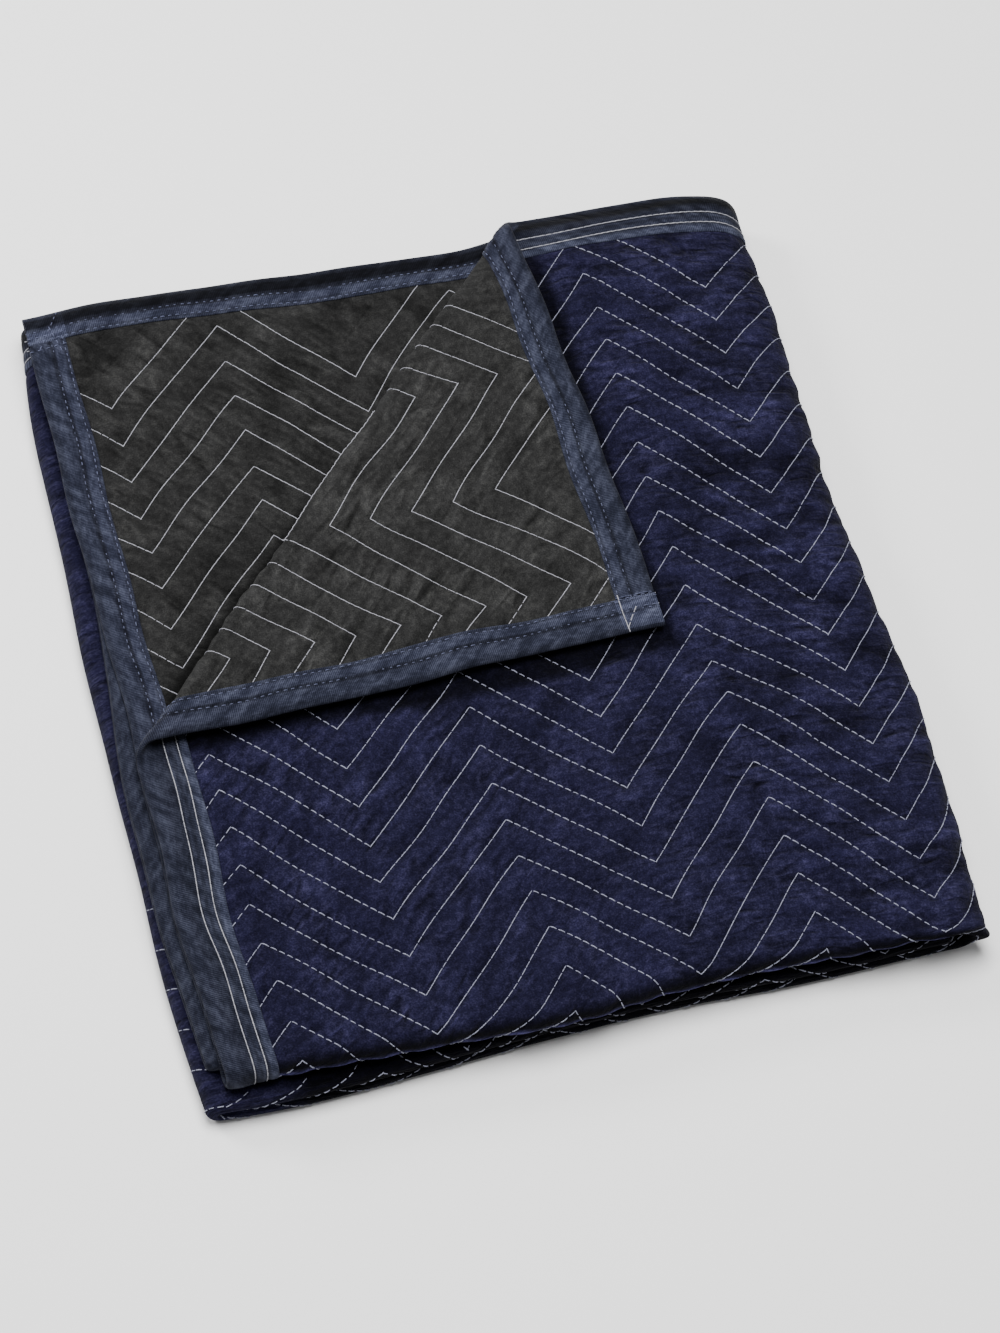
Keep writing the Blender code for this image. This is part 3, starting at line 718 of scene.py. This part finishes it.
def makeTape(name, alongU, atLowEdge, coversStart, material):
    profile, outerCount = tapeProfile()
    edgeLength = length if alongU else width
    bound, over = tape["faceWidth"] + tape["lap"], tape["overEdge"]
    start = -over if coversStart else bound
    end = edgeLength - bound if coversStart else edgeLength + over
    fine, plain, turnStep = tape["step"], tape["plainStep"], clothSettings["turnStep"]
    if alongU:
        middle = [(rollStart, fine), (bottomStart, plain), (leftFoldStart, turnStep), (thirdStart, plain),
                  (innerTurnStart, turnStep), (secondStart, plain)]
    else:
        middle = [(noseStart, tape["noseStep"]), (noseEnd + clothSettings["noseReach"], fine)]
    along = stations((start, fine), *middle, (end, 0))
    distance, height = profile[:, 0], profile[:, 1]
    s, d = np.meshgrid(along, distance, indexing="ij")
    w = np.broadcast_to(height, s.shape).copy()
    outer = np.arange(len(profile)) < outerCount
    wavy = outer[None, :] * smooth(d / (3 * mm)) * (1 - smooth((d - 11 * mm) / (4 * mm)))
    w += wavy * gathers(s, d) * np.sign(w)
    # the two legs stop short at the width of the tape that covers the corner
    lap = tape["faceWidth"] - tape["backWidth"]
    behind = smooth((1 * mm - w) / (2 * mm))
    near = 1 - smooth(np.abs(s - (end if coversStart else start)) / tape["lapReach"])
    s = s + behind * near * (lap if coversStart else -lap)
    across = d if atLowEdge else (width if alongU else length) - d
    u, v = (s, across) if alongU else (across, s)
    points = foldCloth(u, v, w).reshape(-1, 3)
    rings, count = s.shape
    index = np.arange(rings * count).reshape(rings, count)
    following = np.roll(index, -1, axis=1)
    a, b, c, e = (part.ravel() for part in (index[:-1], following[:-1], following[1:], index[1:]))
    faces = np.stack([a, b, c, e], 1).tolist()
    faces += [index[0, ::-1].tolist(), index[-1].tolist()]
    flat = np.stack([s, d * np.sign(w + 1e-9)], -1).reshape(-1, 2)
    # painted shade along the far edge, where the tape droops out of the light
    droops = alongU & (pastCrease(u, v) < 0)
    outside = smooth((d + 1 * mm) / (4 * mm)) * (1 - smooth((d - 9 * mm) / (3 * mm)))
    shade = np.where(droops, 1 - tapeLook["droopShade"] * outside, 1.0)
    return addMesh(name, points, faces, material, flat, shade=shade.ravel())


def setInputs(tree, node, inputs):
    # inputs by name or in order; each is a value, a node's output or a node, for its first output
    for key, value in inputs.items() if isinstance(inputs, dict) else enumerate(inputs):
        if isinstance(value, bpy.types.Node):
            value = value.outputs[0]
        if isinstance(value, bpy.types.NodeSocket):
            tree.links.new(value, node.inputs[key])
        else:
            node.inputs[key].default_value = value


def addNode(tree, kind, inputs=None, **settings):
    # kind is a node's type, and a bare name is a shader node
    node = tree.nodes.new(kind if "Node" in kind else "ShaderNode" + kind)
    for key, value in settings.items():
        setattr(node, key, value)
    setInputs(tree, node, inputs or {})
    return node


faceThread = {
    "Pitch": 5.0 * mm,
    "Stitch Length": 3.8 * mm,
    "Thread Width": 0.74 * mm,
    "Rise": 0.24 * mm,      # how far the middle of a stitch stands up, and its ends go in
    "Sink": 0.34 * mm,
    "Unevenness": 0.12,
}
underThread = {**faceThread, "Thread Width": 0.62 * mm}
backThread = {"Pitch": 4.8 * mm, "Stitch Length": 4.7 * mm, "Thread Width": 0.62 * mm,
              "Rise": 0.20 * mm, "Sink": 0.12 * mm, "Unevenness": 0.08}
bindingThread = {**backThread, "Pitch": 4.2 * mm, "Stitch Length": 4.1 * mm, "Thread Width": 0.72 * mm}
bindingDots = {"Pitch": 4.6 * mm, "Stitch Length": 2.2 * mm, "Thread Width": 0.72 * mm,
               "Rise": 0.22 * mm, "Sink": 0.20 * mm, "Unevenness": 0.15}


def makeStitchTree():
    # lays one arched stitch after another along each path
    tree = bpy.data.node_groups.new("stitchesAlongPaths", "GeometryNodeTree")
    add = partial(addNode, tree)
    for label, way, kind in (("Paths", "INPUT", "Geometry"), *((key, "INPUT", "Float") for key in faceThread),
                             ("Seed", "INPUT", "Int"), ("Thread", "INPUT", "Material"),
                             ("Stitches", "OUTPUT", "Geometry")):
        tree.interface.new_socket(label, in_out=way, socket_type="NodeSocket" + kind)
    given = add("NodeGroupInput").outputs
    curves = add("GeometryNodeMeshToCurve", {"Mesh": given["Paths"]})
    places = add("GeometryNodeResampleCurve", {"Curve": curves, "Length": given["Pitch"]}, mode="LENGTH")
    up, stretch = (add("GeometryNodeInputNamedAttribute", {"Name": name}, data_type=kind)
                   for name, kind in (("up", "FLOAT_VECTOR"), ("stretch", "FLOAT")))
    tangent = add("GeometryNodeInputTangent")
    forward = add("FunctionNodeAlignRotationToVector", {"Vector": tangent}, axis="X")
    standing = add("FunctionNodeAlignRotationToVector", {"Rotation": forward, "Vector": up},
                   axis="Z", pivot_axis="X")
    # one stitch: a short arch of thread whose ends go down into the cloth
    half, radius, below = (
        add("Math", [given[label], factor], operation="MULTIPLY")
        for label, factor in (("Stitch Length", 0.5), ("Thread Width", 0.5), ("Sink", -1.0)))
    back = add("Math", [half, -1.0], operation="MULTIPLY")
    top = add("Math", [given["Rise"], 2.0, given["Sink"]], operation="MULTIPLY_ADD")
    start, end = (add("CombineXYZ", {"X": side, "Z": below}) for side in (back, half))
    middle = add("CombineXYZ", {"Z": top})
    arch = add("GeometryNodeCurveQuadraticBezier",
               {"Resolution": 3, "Start": start, "Middle": middle, "End": end})
    ring = add("GeometryNodeCurvePrimitiveCircle", {"Resolution": 5, "Radius": radius})
    stitch = add("GeometryNodeCurveToMesh", {"Curve": arch, "Profile Curve": ring, "Fill Caps": True})
    softened = add("GeometryNodeSetShadeSmooth", {"Geometry": stitch})
    # each stitch has a size of its own, and longer ones are thinner
    least, most = (add("Math", [1.0, given["Unevenness"]], operation=way) for way in ("SUBTRACT", "ADD"))
    size = add("FunctionNodeRandomValue", {2: least, 3: most, "Seed": given["Seed"]},
               data_type="FLOAT").outputs[1]
    longer, thinner = (add("Math", [size, stretch], operation=way) for way in ("MULTIPLY", "DIVIDE"))
    scale = add("CombineXYZ", {"X": longer, "Y": thinner, "Z": size})
    stitches = add("GeometryNodeInstanceOnPoints",
                   {"Points": places, "Instance": softened, "Rotation": standing, "Scale": scale})
    real = add("GeometryNodeRealizeInstances", {"Geometry": stitches})
    coloured = add("GeometryNodeSetMaterial", {"Geometry": real, "Material": given["Thread"]})
    add("NodeGroupOutput", {"Stitches": coloured})
    return tree


def surfacePath(u, v, w, stretch=1.0):
    # points of a folded path, the direction away from the cloth and the stitch's stretch at each
    points = foldCloth(u, v, w)
    above = foldCloth(u, v, w + np.sign(w) * 0.5 * mm) - points
    return points, above / np.linalg.norm(above, axis=1)[:, None], np.full(len(points), stretch)


def makeStitches(name, tree, paths, material, seed, sizes):
    points, ups, stretches = (np.concatenate(parts) for parts in zip(*paths))
    edges, start = [], 0
    for path in paths:
        count = len(path[0])
        edges += [(start + i, start + i + 1) for i in range(count - 1)]
        start += count
    lines = bpy.data.meshes.new(name + "Paths")
    lines.from_pydata(points.tolist(), edges, [])
    storeValues(lines, "up", ups)
    storeValues(lines, "stretch", stretches)
    piece = addObject(name, lines)
    modifier = piece.modifiers.new("stitches", "NODES")
    modifier.node_group = tree
    sockets = {item.name: item.identifier for item in tree.interface.items_tree if item.in_out == "INPUT"}
    for label, value in {**sizes, "Seed": seed, "Thread": material}.items():
        modifier[sockets[label]] = value
    bpy.context.view_layer.update()
    evaluated = piece.evaluated_get(bpy.context.evaluated_depsgraph_get())
    baked = bpy.data.meshes.new_from_object(evaluated)
    baked.name = name
    piece.modifiers.clear()
    piece.data = baked
    faceOutwards(baked)
    print(name, "has", len(baked.polygons), "faces")
    return piece


def splitPath(u, v, keep):
    # the unbroken stretches of a path where keep is true
    pieces, run = [], []
    for i, wanted in enumerate(keep):
        if wanted:
            run.append(i)
        if run and (not wanted or i == len(keep) - 1):
            if len(run) > 3:
                pieces.append((u[run], v[run]))
            run = []
    return pieces


def zigzagLegs():
    # where each leg of the zigzag starts and ends along u, a little short of its corners
    period, inset = quilting["period"], 1.6 * mm
    first = -packet["leftX"] % period - period
    count = math.ceil(length / period) + 1
    corners = sorted(first + (i + part) * period
                     for i in range(count + 1) for part in (0, quilting["troughPhase"]))
    return [np.linspace(low + inset, high - inset, 40) for low, high in zip(corners, corners[1:])]


def quiltPaths(side, wanted, tight=1.0, lift=lambda u, v: quilting["lift"]):
    # the rows on one side of the blanket, where wanted(u, v) is true; the stitches of the legs
    # sewn away from the front are longer by tight
    bound = (tape["faceWidth"] if side > 0 else tape["backWidth"]) - 1 * mm
    paths = []
    legs = zigzagLegs()
    for row, evenU in ((row, leg) for row in range(quilting["rows"]) for leg in legs):
        u, v = rowPlace(row, evenU)
        keep = (v > bound) & (v < width - bound) & (u > bound) & (u < length - bound) & wanted(u, v)
        for partU, partV in splitPath(u, v, keep):
            w = side * (clothSkin(partU, partV, side) + lift(partU, partV))
            paths.append(surfacePath(partU, partV, w, np.where(np.gradient(partV) < 0, tight, 1.0)))
    return paths


def tapePaths(side, rows):
    # rows of stitches along the four tapes; a row is its distance from the edge and its height
    paths = []
    for distance, height in rows:
        for alongU, atLowEdge, low, high in rowEnds:
            along = np.arange(low, high, tape["rowStep"])
            sway = np.sin(along / (23 * mm)) + 0.6 * np.sin(along / (9.1 * mm) + 1)
            wavy = distance + tape["rowSway"] * sway
            across = wavy if atLowEdge else (width if alongU else length) - wavy
            u, v = (along, across) if alongU else (across, along)
            paths.append(surfacePath(u, v, np.full_like(u, side * height)))
    return paths


def tackPaths(lines, atLowEdge):
    # the end of a tape is doubled over a corner and tacked down: from and to, in u and v
    count, height = 12, -2.1 * mm
    t = np.linspace(0, 1, count)
    paths = []
    for fromU, fromV, toU, toV in lines:
        v = blend(fromV, toV, t)
        paths.append(surfacePath(blend(fromU, toU, t), v if atLowEdge else width - v,
                                 np.full(count, height)))
    return paths


def fromHex(code):
    # an sRGB hex colour as linear RGBA
    parts = [int(code[i:i + 2], 16) / 255 for i in (1, 3, 5)]
    return (*(c / 12.92 if c <= 0.04045 else ((c + 0.055) / 1.055) ** 2.4 for c in parts), 1.0)


def newMaterial(name):
    material = bpy.data.materials.new(name)
    material.use_nodes = True
    return material, material.node_tree


def finishSurface(tree, look, tone, height, shade=None):
    # colours the tone from dark to light, shades it, and raises the surface by height
    colour = addNode(tree, "ValToRGB", {"Fac": tone})
    elements = colour.color_ramp.elements
    while len(elements) < len(look["tones"]):
        elements.new(0.5)
    for element, (place, code) in zip(elements, look["tones"]):
        element.position, element.color = place, fromHex(code)
    if shade is not None:
        colour = addNode(tree, "VectorMath", {0: colour, "Scale": shade}, operation="SCALE")
    strength, distance = look["bump"]
    bump = addNode(tree, "Bump", {"Height": height, "Strength": strength, "Distance": distance})
    setInputs(tree, tree.nodes["Principled BSDF"], {"Base Color": colour, "Normal": bump, **look["surface"]})


napSettings = {
    "tones": ((0.34, "#080713"), (0.5, "#141326"), (0.68, "#2a283f")),
    "surface": {"Roughness": 0.95, "Sheen Weight": 0.02, "Sheen Roughness": 0.6, "Specular IOR Level": 0.02},
    "bump": (1.0, 1.0),
    "fibre": 1.1 * mm,
    "fibreHeight": 0.35 * mm,
    "tuft": 4.0 * mm,
    "tuftShare": 0.45,      # of the colour
    "tuftHeight": 0.9 * mm,
    "blotch": 30.0 * mm,
    "blotchShare": 0.18,
    "slantRipple": (6.0 * mm, 19.0 * mm),
    "rollRipple": (16.0 * mm, 5.0 * mm),
    "rippleChange": (170 * mm, 310 * mm),      # along u, from slanting to straight
    "ripple": 1.3,
    # how strongly the ripples are painted into the colour as shade
    "rippleShade": 2.2,
    "rippleHeight": 2.2 * mm,
    "grooveWidth": 2.6 * mm,
    "grooveDepth": 0.55 * mm,
    "pinchWidth": 5.0 * mm,     # the pinch of each stitch
    "pinchDepth": 0.12 * mm,
}
backingSettings = {
    **napSettings,
    "tones": ((0.34, "#121212"), (0.5, "#202020"), (0.68, "#333332")),
    "surface": {**napSettings["surface"], "Roughness": 0.93},
    "fibre": 0.9 * mm,
    "blotch": 36.0 * mm,
    "slantRipple": (7.0 * mm, 24.0 * mm),
    "rollRipple": (9.0 * mm, 30.0 * mm),
    "ripple": 1.2,
    "grooveWidth": 2.2 * mm,
    "grooveDepth": 0.45 * mm,
}


def quiltedCloth(name, look):
    # a soft matt surface of short matted fibres, pinched in along its rows of stitches
    material, tree = newMaterial(name)
    add = partial(addNode, tree)
    flat = add("UVMap", uv_map="flat")
    fibre, tuft, blotch = (
        add("TexNoise", {"Vector": flat, "Scale": 1 / look[key], "Detail": detail, "Roughness": 0.6})
        for key, detail in (("fibre", 3.0), ("tuft", 3.0), ("blotch", 2.0)))
    tone = fibre
    for share, layer in ((look["tuftShare"], tuft), (look["blotchShare"], blotch)):
        tone = add("Mix", {0: share, 2: tone, 3: layer})
    # fine ripples: slanting across the rows on the left, straight across the roll on the right
    turned = add("VectorRotate", {"Vector": flat, "Angle": math.radians(-45)}, rotation_type="Z_AXIS")
    ripples = []
    for vector, (sizeX, sizeY) in ((turned, look["slantRipple"]), (flat, look["rollRipple"])):
        scaled = add("VectorMath", [vector, (1 / sizeX, 1 / sizeY, 1.0)], operation="MULTIPLY")
        ripples.append(add("TexNoise", {"Vector": scaled, "Scale": 1.0, "Detail": 1.5,
                                        "Roughness": 0.5, "Distortion": 0.8}))
    low, high = look["rippleChange"]
    toRoll = add("MapRange", {"Value": add("SeparateXYZ", [flat]), "From Min": low, "From Max": high})
    ripple = add("Mix", {0: toRoll, 2: ripples[0], 3: ripples[1]})
    ripple = add("Math", [ripple, -0.5], operation="ADD")
    strength = add("MapRange", {"Value": blotch, "From Min": 0.38, "From Max": 0.62,
                                "To Min": 0.35 * look["ripple"], "To Max": look["ripple"]})
    ripple = add("Math", [ripple, strength], operation="MULTIPLY")
    # painted shade: the ripples darken and lighten the colour, on top of the painted light and shade in the
    # shade attribute
    shade = add("Attribute", attribute_name="shade").outputs["Fac"]
    rippleShade = add("Math", [ripple, look["rippleShade"], 1.0], operation="MULTIPLY_ADD")
    shade = add("Math", [shade, rippleShade], operation="MULTIPLY")

    # the groove along each row, with a pinch at each stitch
    coordinates = add("Attribute", attribute_name="quilting").outputs["Vector"]
    split = add("SeparateXYZ", [coordinates]).outputs
    toRow = add("Math", [split["Y"], 0.5], operation="PINGPONG")
    across = math.cos(math.atan(2 * quilting["depth"] / quilting["period"])) * quilting["spacing"]
    near = add("MapRange", {"Value": toRow, "From Max": look["grooveWidth"] / across},
               interpolation_type="SMOOTHSTEP")
    groove = add("Math", [near, look["grooveDepth"]], operation="MULTIPLY")
    pinch = add("Math", [split["X"], 2 * math.pi / quilting["stitchPitch"]], operation="MULTIPLY")
    pinch = add("Math", [pinch], operation="SINE")
    fade = add("MapRange", {"Value": toRow, "From Max": look["pinchWidth"] / across,
                            "To Min": look["pinchDepth"], "To Max": 0.0})
    height = groove
    for layer, rise in ((pinch, fade), (tuft, look["tuftHeight"]), (fibre, look["fibreHeight"]),
                        (ripple, look["rippleHeight"])):
        height = add("Math", [layer, rise, height], operation="MULTIPLY_ADD")
    finishSurface(tree, look, tone, height, shade)
    return material


tapeLook = {
    "tones": ((0.38, "#0f111a"), (0.5, "#1d1f2b"), (0.62, "#353845")),
    "surface": {"Roughness": 0.85, "Specular IOR Level": 0.05, "Sheen Weight": 0.03},
    "bump": (0.8, 1.0),
    "rib": 1.1 * mm,        # drawn coarser than the real weave, so that it shows
    "ribShare": 0.12,       # of the colour
    "ribDepth": 0.10 * mm,
    "slub": 6.0 * mm,
    "slubDepth": 0.5 * mm,
    "fuzz": 0.9 * mm,
    "fuzzShare": 0.35,
    "crease": 13.0 * mm,    # slanting creases beside the seams
    "creaseShare": 0.42,
    "creaseDepth": 1.6 * mm,
    # painted light and shade across the tape, darker in the stitched grooves and lighter on the puffed
    # strips: how light it is at each distance from the blanket's edge, back side, then face side
    "paintedLightBands": [(-29, 1.2), (-20.5, 1.1), (-19.2, 0.85), (-17, 1.4), (-13.5, 1.3), (-11.6, 0.5),
              (-9.5, 1.05), (-4, 1.15), (0, 0.8), (3, 0.95), (8, 0.8), (13.5, 0.7), (15, 0.55),
              (16.5, 1.0), (18.5, 0.75), (20.5, 1.05), (22.5, 0.7), (25, 1.5), (28, 1.65)],
    "capReach": 23 * mm,    # the doubled end of a tape over a corner
    "capLift": 0.8,
    # painted shade along the far edge
    "droopShade": 0.86,     # how much darker the tape is along the far edge
}


def wovenTape():
    # plain-woven polyester tape: fine cross ribs, slubs, and slanting creases where the seams draw it in
    material, tree = newMaterial("wovenPolyesterTape")
    add = partial(addNode, tree)
    flat = add("UVMap", uv_map="flat")
    place = add("SeparateXYZ", [flat]).outputs
    ribs = add("TexWave", {"Vector": flat, "Scale": 1 / tapeLook["rib"] / 3.1831, "Distortion": 0.6,
                           "Detail": 1.0}, wave_type="BANDS", bands_direction="X").outputs["Fac"]
    stretched = add("VectorMath", [flat, (1.0, 2.5, 1.0)], operation="MULTIPLY")
    slubs = add("TexNoise", {"Vector": stretched, "Scale": 1 / tapeLook["slub"], "Detail": 4.0,
                             "Roughness": 0.65})
    fuzz = add("TexNoise", {"Vector": flat, "Scale": 1 / tapeLook["fuzz"], "Detail": 2.0})
    slanted = add("VectorRotate", {"Vector": flat, "Angle": math.radians(50)}, rotation_type="Z_AXIS")
    slanted = add("VectorMath", [slanted, (2.2, 0.6, 1.0)], operation="MULTIPLY")
    creases = add("TexNoise", {"Vector": slanted, "Scale": 1 / tapeLook["crease"], "Detail": 2.0,
                               "Roughness": 0.5})
    tone = slubs
    for share, layer in (("fuzzShare", fuzz), ("creaseShare", creases), ("ribShare", ribs)):
        tone = add("Mix", {0: tapeLook[share], 2: tone, 3: layer})
    # each band's light is halved to fit the curve, and doubled again after it
    paintedLightBands = tapeLook["paintedLightBands"]
    first, last = paintedLightBands[0][0], paintedLightBands[-1][0]
    share = add("MapRange", {"Value": place["Y"], "From Min": first * mm, "From Max": last * mm})
    band = add("FloatCurve", {"Value": share})
    points = band.mapping.curves[0].points
    while len(points) < len(paintedLightBands):
        points.new(0.5, 0.5)
    for point, (distance, light) in zip(points, paintedLightBands):
        point.location = ((distance - first) / (last - first), light / 2)
        point.handle_type = "AUTO_CLAMPED"
    band.mapping.update()
    onBack = add("Math", [place["Y"], 0.0], operation="LESS_THAN")
    onCap = add("Math", [place["X"], tapeLook["capReach"]], operation="LESS_THAN")
    cap = add("Math", [onBack, onCap], operation="MULTIPLY")
    cap = add("Math", [cap, tapeLook["capLift"]], operation="MULTIPLY")
    light = add("Math", [band, 2.0, cap], operation="MULTIPLY_ADD")
    shade = add("Attribute", attribute_name="shade").outputs["Fac"]
    shade = add("Math", [light, shade], operation="MULTIPLY")
    height = add("Math", [ribs, tapeLook["ribDepth"]], operation="MULTIPLY")
    for layer, rise in ((slubs, "slubDepth"), (creases, "creaseDepth")):
        height = add("Math", [layer, tapeLook[rise], height], operation="MULTIPLY_ADD")
    finishSurface(tree, tapeLook, tone, height, shade)
    return material


threadLook = {
    "surface": {"Roughness": 0.7},
    "bump": (0.4, 0.2 * mm),
    "twist": 0.6 * mm,
}


def sewingThread(name, dark, light):
    # spun polyester thread: matt, a little darker in its twist
    material, tree = newMaterial(name)
    place = addNode(tree, "TexCoord").outputs["Object"]
    twist = addNode(tree, "TexNoise", {"Vector": place, "Scale": 1 / threadLook["twist"], "Detail": 2.0})
    finishSurface(tree, {**threadLook, "tones": ((0.3, dark), (0.62, light))}, twist, twist)
    return material


navyNap = quiltedCloth("brushedNavyPolyesterFelt", napSettings)
blackBacking = quiltedCloth("blackNonWovenBacking", backingSettings)
bindingTape = wovenTape()
quiltingThread = sewingThread("spunPolyesterQuiltingThread", "#4e4f5c", "#86889a")
whiteThread = sewingThread("spunPolyesterThread", "#56565f", "#95959c")
blueThread = sewingThread("spunPolyesterBobbinThread", "#24273a", "#474c66")
print("materials are made")

view = {
    "place": Vector((-560.2, -1127.4, 2072.4)) * mm,   # from a point on the packet's top
    "right": Vector((0.95236, -0.28336, 0.11273)),
    "up": Vector((0.18756, 0.83572, 0.51613)),
    "lens": 113.43,
    "sensor": 36.0,
}
studio = {
    "floorHalf": 6.0,
    "floorZ": -0.8 * mm,      # just under the stitches of the lowest layer
    "paper": "#f7f7f7",
    "paperRoughness": 0.9,
    "ambient": 0.25,
    "lights": (               # name, place, size and power
        ("overheadLight", (-0.1, 0.2, 2.4), 1.5, 120.0),
        ("rakingLight", (-1.5, 1.3, 1.2), 0.7, 42.0),
    ),
}


def makeCamera():
    data = bpy.data.cameras.new("camera")
    data.lens, data.sensor_width = view["lens"], view["sensor"]
    data.clip_start, data.clip_end = 0.05, 50.0
    camera = addObject("camera", data)
    right = view["right"].normalized()
    up = (view["up"] - right * view["up"].dot(right)).normalized()
    turned = Matrix((right, up, right.cross(up))).transposed().to_4x4()
    place = view["place"] + Vector((-packet["middleX"], -packet["middleY"], topHeight))
    camera.matrix_world = Matrix.Translation(place) @ turned
    bpy.context.scene.camera = camera


def makeStage():
    mesh = bpy.data.meshes.new("floor")
    size, low = studio["floorHalf"], studio["floorZ"]
    mesh.from_pydata([(-size, -size, low), (size, -size, low), (size, size, low), (-size, size, low)],
                     [], [(0, 1, 2, 3)])
    material, tree = newMaterial("whitePaper")
    setInputs(tree, tree.nodes["Principled BSDF"],
              {"Base Color": fromHex(studio["paper"]), "Roughness": studio["paperRoughness"]})
    mesh.materials.append(material)
    addObject("floor", mesh)
    world = bpy.data.worlds.new("studio")
    bpy.context.scene.world = world
    world.use_nodes = True
    setInputs(world.node_tree, world.node_tree.nodes["Background"],
              {"Color": (1.0, 1.0, 1.0, 1.0), "Strength": studio["ambient"]})
    for name, place, size, power in studio["lights"]:
        data = bpy.data.lights.new(name, "AREA")
        data.size, data.energy = size, power
        light = addObject(name, data)
        light.location = place
        light.rotation_euler = (-Vector(place)).to_track_quat("-Z", "Y").to_euler()


makeCamera()
makeStage()
print("stage is set")

faceCloth = makeCloth("faceCloth", 1, navyNap)
backCloth = makeCloth("backCloth", -1, blackBacking)
print("cloths:", len(faceCloth.data.polygons), len(backCloth.data.polygons))

tapes = {node: makeTape(name, *place, bindingTape) for name, node, *place in (
    # along u, at the low edge, covers the corner at its start
    ("startEdgeTape", "binding_start_edge", False, True, True),
    ("lowerEdgeTape", "binding_lower_edge", True, False, True),
    ("endEdgeTape", "binding_end_edge", False, False, False),
    ("upperEdgeTape", "binding_upper_edge", True, True, False),
)}
print("tapes:", [len(piece.data.polygons) for piece in tapes.values()])

# Where the rows of stitches show.
rowsShown = {
    "leftStart": 374 * mm,      # along the left fold only towards the front
    "leftReach": 14 * mm,
    "margin": 4 * mm,
    "setBack": 6 * mm,          # behind the front, the low rows lie deeper in the cloth by this
    "deeper": -0.45 * mm,
    "backReach": 345 * mm,
}


def faceShows(u, v):
    return (u < bottomStart) & (v < noseEnd)


def underShows(u, v):
    margin = rowsShown["margin"]
    leftFold = (u < thirdStart + rowsShown["leftReach"]) & (v > rowsShown["leftStart"])
    return (u >= bottomStart) & (v < noseEnd + margin) & (
        (u < leftFoldStart - margin) | leftFold | (v > noseStart - margin))


def underLift(u, v):
    behind = (v < noseStart - rowsShown["setBack"]) & (u < leftFoldStart - rowsShown["margin"])
    return np.where(behind, rowsShown["deeper"], quilting["lift"])


def backShows(u, v):
    reach = rowsShown["backReach"]
    return (u < reach) & ((v < reach) | (v > width - reach))


rowEnds = (  # along u, at the low edge, from, to: start, lower, end and upper tape
    (False, True, -1 * mm, width - 20 * mm),
    (True, False, -1 * mm, length - 20 * mm),
    (False, False, 22 * mm, width + 1 * mm),
    (True, True, 22 * mm, length + 1 * mm),
)
cornerRows = mm * np.array([(21.5, 1, 20.5, 24), (13, 1, 14.5, 25)])
cornerTack = mm * np.array([(22, 20, 0, 20.5), (12, 12.5, 2, 19.5)])
farCornerRows = mm * np.array([(-1, 17, 20, 16.5), (-1, 27, 20, 26), (20, 1, 5, 25), (17, 29, 13, 12)])

stitchTree = makeStitchTree()
threads = [makeStitches(name, stitchTree, *rest) for name, *rest in (
    ("faceQuiltThread", quiltPaths(1, faceShows, 1.2), quiltingThread, 1, faceThread),
    ("underQuiltThread", quiltPaths(1, underShows, lift=underLift), quiltingThread, 2, underThread),
    ("backQuiltThread", quiltPaths(-1, backShows), whiteThread, 3, backThread),
    ("bindingFaceThread", tapePaths(1, tape["faceRows"]) + tackPaths(cornerTack, True),
     whiteThread, 4, bindingThread),
    ("bindingBackThread", tapePaths(-1, tape["backRows"]) + tackPaths(cornerRows, True)
     + tackPaths(farCornerRows, False), blueThread, 5, bindingDots),
)]

for piece in [faceCloth, backCloth, *tapes.values(), *threads]:
    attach(piece, "root")
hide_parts("face_cloth")
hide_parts("back_cloth")
for node, piece in tapes.items():
    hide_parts(node)
print("pieces belong to the part")
